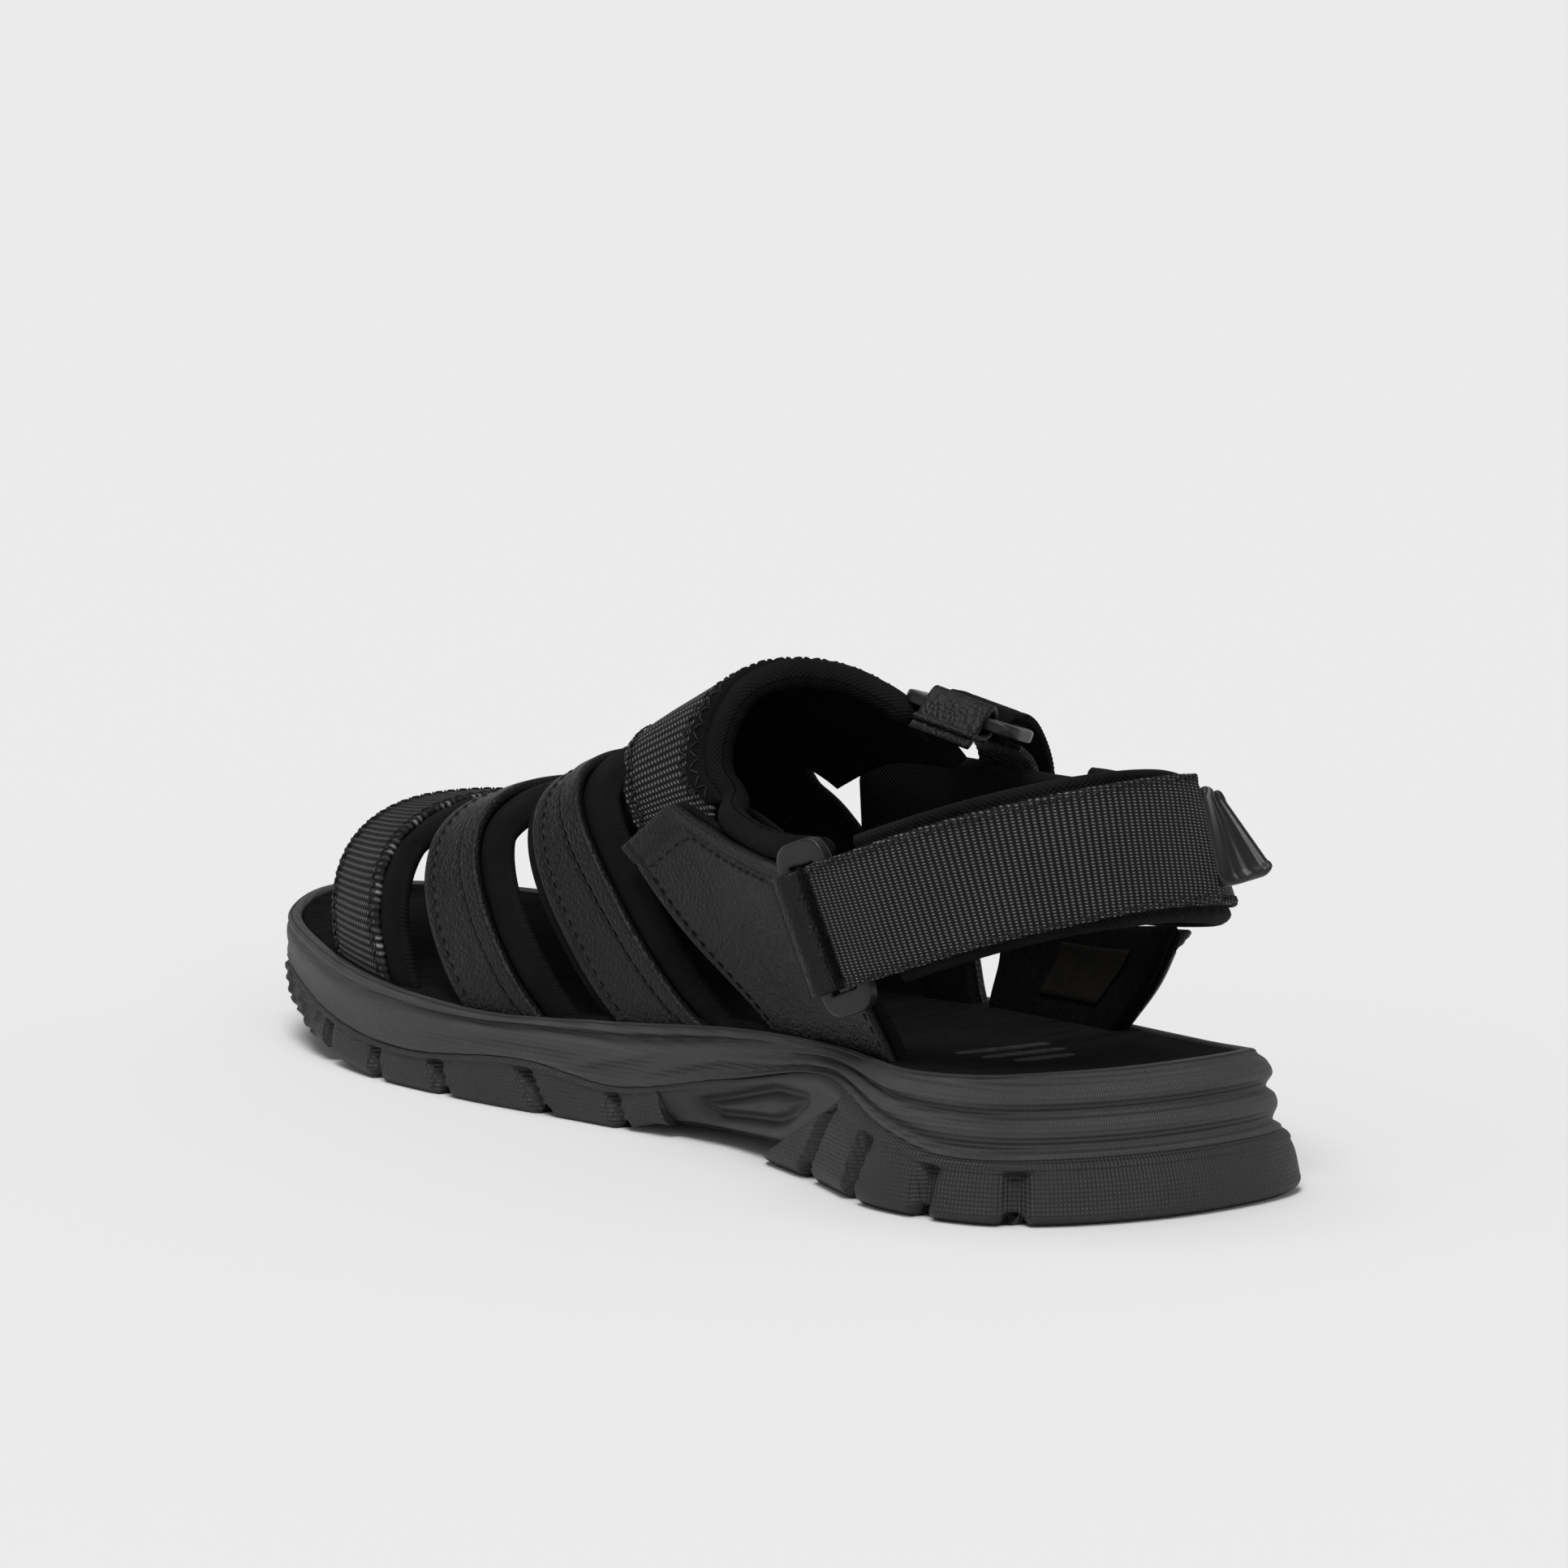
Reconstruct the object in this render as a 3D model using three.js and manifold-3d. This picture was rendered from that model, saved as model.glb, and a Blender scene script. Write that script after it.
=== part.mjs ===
// Strappy sport sandal for a right foot, in millimetres.
// +X runs to the toe, +Y to the inner (medial) side of the foot and +Z up from the ground.
// The origin is on the ground, in the middle of the sole's length and width.

import * as THREE from 'three';
import { ParametricGeometry } from 'three/addons/geometries/ParametricGeometry.js';
import { mergeVertices } from 'three/addons/utils/BufferGeometryUtils.js';
import Module from 'manifold-3d';

const wasm = await Module();
wasm.setup();

// ---- Sole ----
const SOLE_LENGTH = 296;
const SOLE_WIDTH = 106;
// The upper and the tread are set out on a shoe of this size, and stretched with the sole.
const PATTERN_LENGTH = 296;
const PATTERN_WIDTH = 106;
const LENGTHWISE = SOLE_LENGTH / PATTERN_LENGTH;
const CROSSWISE = SOLE_WIDTH / PATTERN_WIDTH;
const TOE_SPRING = 19;
const TOE_SPRING_LENGTH = 88;
const SOLE_LIFT = 0; // extra height of the midsole under the whole foot
const TREAD_BEVEL = 1.2;
const TOE_TREAD_INSET = 2.4; // how far the tread draws in under the toe
const OUTSOLE_FLOOR = 5; // rubber left above the ground inside the cup of the outsole
const OUTSOLE_WALL = 4.5;
const TREAD_GROOVE_WIDTH = 4.5;
const TREAD_GROOVE_DEPTH = 3.8;
const HEEL_TREAD_FRONT = -74 * LENGTHWISE;
const FOREFOOT_TREAD_REAR = -20 * LENGTHWISE;
const ARCH_CLEARANCE = 4; // height of the arch bridge above the ground
const RIM_LIP = 2.4; // width of the midsole's edge around the footbed
const FOOTBED_DEPTH = 4;
const FOOTBED_COVER = 0.9;

// ---- Upper ----
const GAP = 0.3; // between pieces that touch
const LINING = 2.2;
const OVERLAY = 1.6;
const OVERLAY_MARGIN = 0.8; // lining left showing at the narrowest edge of an overlay
const STRAP_END = 3.4; // how far a strap runs down beside the footbed
const QUARTER_END = 2.6; // how far a quarter runs down beside the footbed
const QUARTER_SET_IN = 0.9; // room for a quarter to lean out over the midsole's edge
const COLLAR_RADIUS = 3.6;
const COLLAR_SEAM = 2.2; // from the collar's roll to the edge of the instep piece
const EDGE_LEAN = 0.7; // how the strap edges bow: 1 is a plain arch, less is fuller
const ARCH_STEPS = 22;

// Strap edges: where each edge meets the footbed on the medial side, where it crosses the
// ridge of the foot, and where it meets the footbed on the lateral side.
const TOE_STRAP = {
  front: { medial: 98.5, ridge: 114, lateral: 101 },
  rear: { medial: 74, ridge: 91, lateral: 76 },
  liningFront: 2.5,
  liningRear: 8,
};
const SECOND_STRAP = {
  front: { medial: 46, ridge: 76, lateral: 52 },
  rear: { medial: 23, ridge: 62, lateral: 30 },
  liningFront: 2,
  liningRear: 8,
};
const THIRD_STRAP = {
  front: { medial: 1, ridge: 44, lateral: 14 },
  rear: { medial: -22, ridge: 34, lateral: -4 },
  liningFront: 3,
  liningRear: 7.5,
};
const INSTEP_FRONT = { medial: -42, ridge: 22, lateral: -26 };
const INSTEP_MEDIAL_END = 0.57; // part of the way from the ridge (0) to the footbed (1)
const INSTEP_LATERAL_END = -0.5;
const SPINE_MEDIAL_END = 0.37;
const SPINE_LATERAL_END = -0.37;

// ---- Closures ----
const HEEL_WEBBING_WIDTH = 25;
const INSTEP_WEBBING_WIDTH = 18;
const WEBBING = 1.4;
const PAD_WIDTH = 30;
const ANKLE_PAD_WIDTH = 26;
const KEEPER_MARGIN = 2.5; // webbing left uncovered beside a keeper
const PATCH_MARGIN = 1.5; // webbing left uncovered beside a patch of hooks or loops
const TAB_MARGIN = 0.5;
const PAD = 4.5;
const RING_BAR = 3.2;
const RING_SLOT = 6.6;
const RING_END = 3.4;
const RING_CORNER = 2.4;
const SLOT_CORNER = 0.8;
const RING_BEVEL = 0.6;
const RING_CLEARANCE = 0.7; // webbing to the ring's ends
const BAR_CLEARANCE = 0.3; // webbing to the bar it turns round
const TAB_LENGTH = 14;
const TAB_THICKNESS = 2.2;
const HOOK_PATCH = 1;
const RING_ROCK = 0.9; // room for a ring to rock over the webbing under it

// ---- Smooth curves through a few hand-set stations ----

// A smooth function through [x, value] stations, flat beyond both ends.
function stations(rows) {
  const slope = rows.map((row, i) => {
    const before = rows[Math.max(i - 1, 0)];
    const after = rows[Math.min(i + 1, rows.length - 1)];
    return (after[1] - before[1]) / (after[0] - before[0]);
  });
  return (x) => {
    const at = THREE.MathUtils.clamp(x, rows[0][0], rows[rows.length - 1][0]);
    let i = 0;
    while (i < rows.length - 2 && at > rows[i + 1][0]) i += 1;
    const span = rows[i + 1][0] - rows[i][0];
    const t = (at - rows[i][0]) / span;
    const t2 = t * t;
    const t3 = t2 * t;
    return rows[i][1] * (2 * t3 - 3 * t2 + 1)
      + slope[i] * span * (t3 - 2 * t2 + t)
      + rows[i + 1][1] * (3 * t2 - 2 * t3)
      + slope[i + 1] * span * (t3 - t2);
  };
}

const along = (share) => share * SOLE_LENGTH;
const stationsAlong = (rows) => stations(rows.map(([share, value]) => [along(share), value]));

// Heights above the ground, by station along the sole.
const rimHeight = stationsAlong([
  [-0.5, 28.6], [-0.375, 26.6], [-0.25, 25.8], [-0.125, 23.6], [0, 20.4],
  [0.125, 18.2], [0.25, 20], [0.375, 23.4], [0.5, 28.2],
]);
const partingHeight = stationsAlong([
  [-0.5, 12.4], [-0.42, 12], [-0.36, 15.6], [-0.27, 21], [-0.13, 14], [-0.02, 8.2],
  [0.075, 10.4], [0.2, 7.6], [0.32, 10.4], [0.42, 16.4], [0.5, 22.6],
]);
const rimInset = stationsAlong([[-0.5, 9], [-0.3, 8], [0, 5], [0.3, 2.6], [0.5, 1.6]]);

function groundHeight(x) {
  const start = SOLE_LENGTH / 2 - TOE_SPRING_LENGTH;
  const t = THREE.MathUtils.clamp((x - start) / TOE_SPRING_LENGTH, 0, 1.05);
  return TOE_SPRING * t * t;
}

const rimTop = (x) => rimHeight(x) + SOLE_LIFT;

// ---- Outline of the sole ----

const RING_POINTS = 72;
const OUTLINE_SHARES = [
  [-0.5, 0.03], [-0.465, 0.33], [-0.375, 0.43], [-0.25, 0.37], [-0.125, 0.33], [0, 0.38],
  [0.125, 0.445], [0.25, 0.465], [0.36, 0.41], [0.45, 0.31], [0.5, 0.1], [0.45, -0.245],
  [0.36, -0.445], [0.25, -0.535], [0.125, -0.5], [0, -0.45], [-0.125, -0.41],
  [-0.25, -0.38], [-0.375, -0.38], [-0.465, -0.335],
];

function outlineRing() {
  const points = OUTLINE_SHARES.map(([x, y]) => new THREE.Vector3(x * SOLE_LENGTH, y * SOLE_WIDTH, 0));
  const ring = new THREE.CatmullRomCurve3(points, true, 'centripetal').getSpacedPoints(RING_POINTS);
  ring.pop();
  const box = new THREE.Box3().setFromPoints(ring);
  const size = box.getSize(new THREE.Vector3());
  const middle = box.getCenter(new THREE.Vector3());
  return ring.map((p) => new THREE.Vector3(
    (p.x - middle.x) * SOLE_LENGTH / size.x,
    (p.y - middle.y) * SOLE_WIDTH / size.y,
    0,
  ));
}

const OUTLINE = outlineRing();
const OUTLINE_NORMAL = OUTLINE.map((p, i) => {
  const before = OUTLINE[(i + RING_POINTS - 1) % RING_POINTS];
  const after = OUTLINE[(i + 1) % RING_POINTS];
  return new THREE.Vector3(after.y - before.y, before.x - after.x, 0).normalize();
});

// A point of the outline moved inwards; the inward normal points to the middle of the sole.
function outlinePoint(i, inset) {
  const k = i % RING_POINTS;
  return OUTLINE[k].clone().addScaledVector(OUTLINE_NORMAL[k], inset);
}

// The half-width of the outline on one side at a station, moved inwards.
function sideAt(x, side, inset) {
  let best = 0;
  for (let i = 0; i < RING_POINTS; i += 1) {
    const a = outlinePoint(i, inset(OUTLINE[i].x));
    const b = outlinePoint(i + 1, inset(OUTLINE[(i + 1) % RING_POINTS].x));
    const crosses = (a.x - x) * (b.x - x) <= 0 && Math.abs(a.x - b.x) > 1e-6;
    if (crosses) {
      const y = a.y + (b.y - a.y) * (x - a.x) / (b.x - a.x);
      if (y * side > best * side) best = y;
    }
  }
  return best;
}

// ---- Closed solids ----

// Merges the seams of a surface, drops its empty triangles and faces it outwards.
function closed(geometry) {
  const bare = geometry.clone();
  for (const name of Object.keys(bare.attributes)) {
    if (name !== 'position') bare.deleteAttribute(name);
  }
  const merged = mergeVertices(bare, 1e-4);
  const index = merged.index.array;
  const kept = [];
  for (let i = 0; i < index.length; i += 3) {
    const [a, b, c] = [index[i], index[i + 1], index[i + 2]];
    if (a !== b && b !== c && a !== c) kept.push(a, b, c);
  }
  merged.setIndex(volume(merged, kept) < 0 ? kept.reverse() : kept);
  return merged;
}

function volume(geometry, index) {
  const corner = [new THREE.Vector3(), new THREE.Vector3(), new THREE.Vector3()];
  let sum = 0;
  for (let i = 0; i < index.length; i += 3) {
    corner.forEach((p, k) => p.fromBufferAttribute(geometry.attributes.position, index[i + k]));
    sum += corner[0].dot(corner[1].clone().cross(corner[2])) / 6;
  }
  return sum;
}

function toManifold(geometry) {
  const solid = closed(geometry);
  return new wasm.Manifold(new wasm.Mesh({
    numProp: 3,
    vertProperties: new Float32Array(solid.attributes.position.array),
    triVerts: new Uint32Array(solid.index.array),
  }));
}

function fromManifold(manifold) {
  const mesh = manifold.getMesh();
  const geometry = new THREE.BufferGeometry();
  geometry.setAttribute('position', new THREE.BufferAttribute(new Float32Array(mesh.vertProperties), 3));
  geometry.setIndex(new THREE.BufferAttribute(new Uint32Array(mesh.triVerts), 1));
  return geometry;
}

function cut(geometry, tools) {
  return fromManifold(tools.reduce((solid, tool) => solid.subtract(toManifold(tool)), toManifold(geometry)));
}

function overlap(geometry, tool) {
  return fromManifold(toManifold(geometry).intersect(toManifold(tool)));
}

function block(low, high) {
  const size = high.map((value, k) => value - low[k]);
  const box = new THREE.BoxGeometry(...size);
  return box.translate(...low.map((value, k) => value + size[k] / 2));
}

// A closed skin over rows of closed loops; each end row is drawn in to its own closing line.
function skin(rows, columns, point) {
  const surface = new ParametricGeometry((u, v, target) => {
    target.copy(point(Math.round(v * (rows - 1)), Math.round(u * columns) % columns));
  }, columns, rows - 1);
  return closed(surface);
}

// ---- Sole pieces ----

// Rings of the outline from the bottom up, closed to a line along the middle of the sole.
// Each ring gives its inset and height as functions of the station along the sole.
function soleSolid(rings) {
  const closingPoint = (ring, i) => {
    const a = outlinePoint(i, ring.inset(OUTLINE[i].x));
    const j = (RING_POINTS - i) % RING_POINTS;
    const b = outlinePoint(j, ring.inset(OUTLINE[j].x));
    const middle = a.add(b).multiplyScalar(0.5);
    middle.z = ring.height(middle.x);
    return middle;
  };
  return skin(rings.length + 2, RING_POINTS, (row, i) => {
    if (row === 0) return closingPoint(rings[0], i);
    if (row === rings.length + 1) return closingPoint(rings[rings.length - 1], i);
    const ring = rings[row - 1];
    const p = outlinePoint(i, ring.inset(OUTLINE[i].x));
    p.z = ring.height(p.x);
    return p;
  });
}

const level = (inset, height) => ({ inset: typeof inset === 'number' ? () => inset : inset, height });

const cupFloor = (x) => Math.min(groundHeight(x) + OUTSOLE_FLOOR, partingHeight(x) - 0.6);
const archFloor = stationsAlong([[-0.3, 0], [-0.22, ARCH_CLEARANCE], [-0.1, ARCH_CLEARANCE - 1], [-0.06, 0]]);

// The tread draws in under the toe.
const toeInset = stationsAlong([[0.36, 0], [0.5, TOE_TREAD_INSET]]);

function outsoleSolid(bottom) {
  return soleSolid([
    level((x) => TREAD_BEVEL + toeInset(x), bottom),
    level(toeInset, (x) => bottom(x) + TREAD_BEVEL),
    level(0, partingHeight),
    level(OUTSOLE_WALL, partingHeight),
    level(OUTSOLE_WALL + 0.6, (x) => Math.max(cupFloor(x), bottom(x) + 2.4)),
  ]);
}

// Slanted grooves that run across the tread.
function treadGroove(x) {
  const groove = new THREE.BoxGeometry(TREAD_GROOVE_WIDTH, SOLE_WIDTH * 1.4, TREAD_GROOVE_DEPTH * 2);
  groove.rotateY(groundHeight(x + 2) > 0.1 ? -0.25 : 0);
  groove.rotateZ(0.12);
  return groove.translate(x, 0, groundHeight(x));
}

const HEEL_GROOVES = [-135, -115, -92];
const FOREFOOT_GROOVES = [-2, 18, 38, 58, 78, 98];

function heelOutsole() {
  const far = SOLE_LENGTH;
  const half = block([-far, -far, -far], [HEEL_TREAD_FRONT, far, far]);
  return cut(overlap(outsoleSolid(groundHeight), half), HEEL_GROOVES.map((x) => treadGroove(x * LENGTHWISE)));
}

function forefootOutsole() {
  const far = SOLE_LENGTH;
  const half = block([FOREFOOT_TREAD_REAR, -far, -far], [far, far, far]);
  return cut(overlap(outsoleSolid(groundHeight), half), FOREFOOT_GROOVES.map((x) => treadGroove(x * LENGTHWISE)));
}

function archBridge() {
  const far = SOLE_LENGTH;
  const middle = block([HEEL_TREAD_FRONT + GAP, -far, -far], [FOREFOOT_TREAD_REAR - GAP, far, far]);
  return overlap(outsoleSolid((x) => Math.max(archFloor(x), 1.5)), middle);
}

const liftedParting = (x) => partingHeight(x) + GAP;
const tier = (share) => (x) => liftedParting(x) + (rimTop(x) - liftedParting(x)) * share;
const tierInset = (share, bulge) => (x) => rimInset(x) * share - bulge;

function midsole() {
  const body = soleSolid([
    level(OUTSOLE_WALL + 0.6 + GAP * 2, (x) => Math.max(cupFloor(x), archBridgeFloor(x)) + GAP),
    level(OUTSOLE_WALL + GAP * 2, liftedParting),
    level(1.2, liftedParting),
    level(tierInset(0.25, 0), tier(0.25)),
    level(tierInset(0.55, -0.6), tier(0.5)),
    level(tierInset(0.8, 0.2), tier(0.72)),
    level(rimInset, rimTop),
  ]);
  const recess = soleSolid([
    level((x) => rimInset(x) + RIM_LIP, (x) => rimTop(x) - FOOTBED_DEPTH),
    level((x) => rimInset(x) + RIM_LIP, (x) => rimTop(x) + 20),
  ]);
  return cut(body, [recess]);
}

const archBridgeFloor = (x) => Math.max(archFloor(x), 1.5) + 2.4;

// The footbed lies in the recess, with a notch for every strap end.
function footbedLayer(low, high, notches) {
  const edge = (x) => rimInset(x) + RIM_LIP + GAP;
  const layer = soleSolid([
    level(edge, (x) => rimTop(x) - FOOTBED_DEPTH + low),
    level(edge, (x) => rimTop(x) - FOOTBED_DEPTH + high),
  ]);
  return cut(layer, notches);
}

// ---- The foot form that the upper is shaped over ----

// Ridge of the foot: its height, and how far it lies to the medial side.
const lengthwise = (rows, stretch = 1) => stations(rows.map(([x, value]) => [x * LENGTHWISE, value * stretch]));
const ridgeHeight = lengthwise([
  [-60, 96], [-30, 95], [-12, 92.5], [8, 83.5], [30, 71.3], [50, 63.8], [75, 57.3],
  [95, 53.4], [115, 51], [135, 48.6],
]);
const ridgeSide = lengthwise([[-60, 6.7], [0, 8.7], [40, 11.7], [75, 10.7], [115, 5.7]], CROSSWISE);
const sectionPower = lengthwise([[-60, 2.1], [0, 2.2], [60, 2.35], [130, 2.4]]);
const upperInset = (x) => rimInset(x) + RIM_LIP + GAP;

function formPoint(x, v) {
  const side = Math.sign(v) || 1;
  const turn = Math.min(Math.abs(v), 1) * Math.PI / 2;
  const power = 2 / sectionPower(x);
  const middle = ridgeSide(x);
  const reach = sideAt(x, side, upperInset) - middle;
  const y = middle + reach * Math.sin(turn) ** power;
  const foot = rimTop(x);
  const z = foot + (ridgeHeight(x) + SOLE_LIFT - foot) * Math.max(Math.cos(turn), 0) ** power;
  return new THREE.Vector3(x, y, z - Math.max(Math.abs(v) - 1, 0) * 100);
}

// A point of the foot form, lifted along its outward normal.
function onForm(x, v, lift) {
  const step = 0.02;
  const clamped = THREE.MathUtils.clamp(v, -1, 1);
  const alongX = formPoint(x + 1, clamped).sub(formPoint(x - 1, clamped));
  const around = formPoint(x, v + step).sub(formPoint(x, v - step));
  const normal = alongX.cross(around).normalize();
  if (normal.z < -0.05) normal.z = 0;
  return formPoint(x, v).addScaledVector(normal, lift);
}

// Where an edge set by its medial, ridge and lateral stations runs at a given way round.
function edgeAt(edge, v) {
  const foot = v > 0 ? edge.medial : edge.lateral;
  const turn = Math.min(Math.abs(v), 1) * Math.PI / 2;
  return LENGTHWISE * (foot + (edge.ridge - foot) * Math.max(Math.cos(turn), 0) ** EDGE_LEAN);
}

const shifted = (edge, by) => (v) => edgeAt(edge, v) + by;

// A band that lies over the foot form between two edges, from one way round to another.
function band({ front, rear, from, to, inner, outer, steps = ARCH_STEPS, spread = 0 }) {
  const section = [[0, outer], [0.5, outer], [1, outer], [1, inner], [0.5, inner], [0, inner]];
  const at = (v, share, lift) => {
    const a = front(v) + spread;
    const b = rear(v) - spread;
    return onForm(a + (b - a) * share, v, lift);
  };
  return skin(steps + 3, section.length, (row, i) => {
    const t = THREE.MathUtils.clamp((row - 1) / steps, 0, 1);
    const v = from + (to - from) * t;
    const ending = row === 0 || row === steps + 2;
    return ending ? at(v, 0.5, (inner + outer) / 2) : at(v, ...section[i]);
  });
}

const strapFoot = 1 + STRAP_END / 100;
const NOTCH_OPENING = 2;
const NOTCH_ROOM = 0.8;

const LINING_OUTER = -OVERLAY - GAP;
const LINING_INNER = LINING_OUTER - LINING;
const UPPER_THICKNESS = -LINING_INNER;

const liningBand = (strap) => band({
  front: shifted(strap.front, strap.liningFront),
  rear: shifted(strap.rear, -strap.liningRear),
  from: strapFoot,
  to: -strapFoot,
  inner: LINING_INNER,
  outer: LINING_OUTER,
});

const overlayBand = (strap) => band({
  front: shifted(strap.front, 0),
  rear: shifted(strap.rear, 0),
  from: strapFoot,
  to: -strapFoot,
  inner: -OVERLAY,
  outer: 0,
});

// The notch that a strap's lining and overlay stand in, open to the footbed's edge.
const notchBand = (strap) => band({
  front: shifted(strap.front, strap.liningFront),
  rear: shifted(strap.rear, -strap.liningRear),
  from: strapFoot,
  to: -strapFoot,
  inner: LINING_INNER - GAP,
  outer: NOTCH_OPENING,
  spread: GAP * 1.5,
});

const deepened = (tool, end) => [tool, tool.clone().translate(0, 0, end - FOOTBED_DEPTH)];

const spineBand = (ahead, behindEdge, behindShift) => band({
  front: shifted(ahead.rear, -ahead.liningRear - GAP),
  rear: shifted(behindEdge, behindShift + GAP),
  from: SPINE_MEDIAL_END,
  to: SPINE_LATERAL_END,
  inner: LINING_INNER,
  outer: LINING_OUTER,
  steps: 8,
});

// ---- Instep piece and collar ----

// Where the collar runs over the instep, by the way round the foot.
const collarLine = stations([
  [-0.55, -43], [-0.45, -37], [-0.3, -29], [-0.14, -21], [0, -16.5], [0.3, -12], [0.5, -17.5], [0.6, -27],
]);
const collarStation = (v) => collarLine(v) * LENGTHWISE;
const collarLift = LINING_OUTER - LINING / 2;

const instepBand = (inner, outer, trim) => band({
  front: (v) => edgeAt(INSTEP_FRONT, v) - trim,
  rear: (v) => collarStation(v) + COLLAR_RADIUS + COLLAR_SEAM + trim,
  from: INSTEP_MEDIAL_END,
  to: INSTEP_LATERAL_END,
  inner,
  outer,
  steps: 14,
});

// A round cord of padding along a smooth path.
function roll(points, radius, steps) {
  const section = new THREE.Shape();
  section.absarc(0, 0, radius, 0, Math.PI * 2);
  const path = new THREE.CatmullRomCurve3(points, false, 'centripetal');
  return new THREE.ExtrudeGeometry(section, { steps, curveSegments: 5, bevelEnabled: false, extrudePath: path });
}

// A point given on the pattern shoe, on this one.
function patternPoint([x, y, z]) {
  return new THREE.Vector3(x * LENGTHWISE, y * CROSSWISE, z + SOLE_LIFT);
}

function collarPath() {
  const over = [0.57, 0.5, 0.38, 0.2, 0, -0.12, -0.2];
  const rear = [[-78, 39.3, 67.6], [-65, 37.3, 65.8], [-50, 35.1, 65.6], [-36, 33.3, 67.2]];
  return [
    ...rear.map(patternPoint),
    ...over.map((v) => onForm(collarStation(v), v, collarLift)),
  ];
}

// ---- Patches between a foot line on the footbed and a free upper edge ----

// A sheet between two curves, thickened to one side; bulge bows it outwards half way up.
function patch({ low, high, inner, outer, bulge, side, columns = 8, rows = 5 }) {
  const lowCurve = new THREE.CatmullRomCurve3(low, false, 'centripetal');
  const highCurve = new THREE.CatmullRomCurve3(high, false, 'centripetal');
  const surface = (s, t) => {
    const foot = lowCurve.getPoint(s);
    const head = highCurve.getPoint(s);
    const p = foot.clone().lerp(head, t);
    p.y = THREE.MathUtils.lerp(foot.y, head.y, THREE.MathUtils.smoothstep(t, 0, 1));
    p.y += side * bulge * Math.sin(Math.PI * t) ** 2;
    return p;
  };
  const lifted = (s, t, lift) => {
    const d = 0.01;
    const across = surface(Math.min(s + d, 1), t).sub(surface(Math.max(s - d, 0), t));
    const up = surface(s, Math.min(t + d, 1)).sub(surface(s, Math.max(t - d, 0)));
    const normal = across.cross(up).normalize();
    if (normal.y * side < 0) normal.negate();
    return surface(s, t).addScaledVector(normal, lift);
  };
  const loop = [];
  for (let i = 0; i <= rows; i += 1) loop.push([i / rows, outer]);
  for (let i = rows; i >= 0; i -= 1) loop.push([i / rows, inner]);
  return skinFromLoops(columns, loop, lifted, (inner + outer) / 2);
}

// A skin of loops whose end loops close to a line through the middle of the thickness.
function skinFromLoops(columns, loop, lifted, middle) {
  return skin(columns + 3, loop.length, (row, i) => {
    const s = THREE.MathUtils.clamp((row - 1) / columns, 0, 1);
    const ending = row === 0 || row === columns + 2;
    return lifted(s, loop[i][0], ending ? middle : loop[i][1]);
  });
}

// Points along the footbed's edge on one side, a little below its top and inside the lip.
function footLine(from, to, side) {
  return [0, 0.25, 0.5, 0.75, 1].map((t) => {
    const x = from + (to - from) * t;
    return new THREE.Vector3(x, sideAt(x, side, upperInset) - side * QUARTER_SET_IN, rimTop(x) - QUARTER_END);
  });
}

const MEDIAL_QUARTER_TOP = [
  [-2, 36.7, 56], [-15, 34.3, 61], [-29, 34.9, 62], [-45, 35.7, 61.2], [-60, 37.3, 60.6], [-75, 39.1, 61],
];
const MEDIAL_QUARTER_FOOT = { front: -46, rear: -97 };
const QUARTER_LINING_SHOW = 3;
const LATERAL_FRONT_FOOT = { front: -18, rear: -36 };
const LATERAL_FRONT_TOP = [[6, -33.4, 43.6], [-4, -33.4, 44], [-16, -33.4, 44.4]];
const LATERAL_HEEL_FOOT = { front: -44, rear: -88 };
const LATERAL_HEEL_TOP = [[-40, -31.4, 43.6], [-60, -31.2, 43.4], [-84, -29.4, 44.4], [-110, -24.4, 47.6]];

function quarter(foot, top, side, inner, outer) {
  return patch({
    low: footLine(foot.front * LENGTHWISE, foot.rear * LENGTHWISE, side),
    high: top.map(patternPoint),
    inner,
    outer,
    bulge: 1.5,
    side,
  });
}

// ---- Ribbons: webbing and padding that run along a path in space ----

// A frame at every point of a path: the way along, the way across and the outward normal.
function frames(points, acrossAt, outwardFrom) {
  return points.map((p, i) => {
    const before = points[Math.max(i - 1, 0)];
    const after = points[Math.min(i + 1, points.length - 1)];
    const way = after.clone().sub(before).normalize();
    const across = acrossAt(i / (points.length - 1)).clone();
    across.addScaledVector(way, -across.dot(way)).normalize();
    const out = way.clone().cross(across).normalize();
    if (outwardFrom && out.dot(p.clone().sub(outwardFrom)) < 0) out.negate();
    return { p, way, across, out };
  });
}

// A flat strip along a list of frames, between two lifts along the normal.
function strip(list, width, inner, outer) {
  const section = [[-0.5, outer], [0, outer], [0.5, outer], [0.5, inner], [0, inner], [-0.5, inner]];
  const at = (f, share, lift) => f.p.clone()
    .addScaledVector(f.across, share * width)
    .addScaledVector(f.out, lift);
  return skin(list.length + 2, section.length, (row, i) => {
    const f = list[THREE.MathUtils.clamp(row - 1, 0, list.length - 1)];
    const ending = row === 0 || row === list.length + 1;
    return ending ? at(f, 0, (inner + outer) / 2) : at(f, ...section[i]);
  });
}

const HEEL_BACK = 17; // from the sole's heel to the outside of the strap
const backX = -PATTERN_LENGTH / 2 + HEEL_BACK;

// The outer face of the heel padding, from the medial ring round the back to the lateral side.
const HEEL_PATH = [
  [-93, 41.3, 54.5], [-107, 38.1, 59.6], [-120, 29.7, 64.8], [backX, 15.7, 69], [backX - 1, -1.3, 69.8],
  [backX + 5, -16.3, 67.8], [-113, -25.8, 64.5], [-92, -30.8, 61.5], [-70, -32.9, 60],
];
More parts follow.
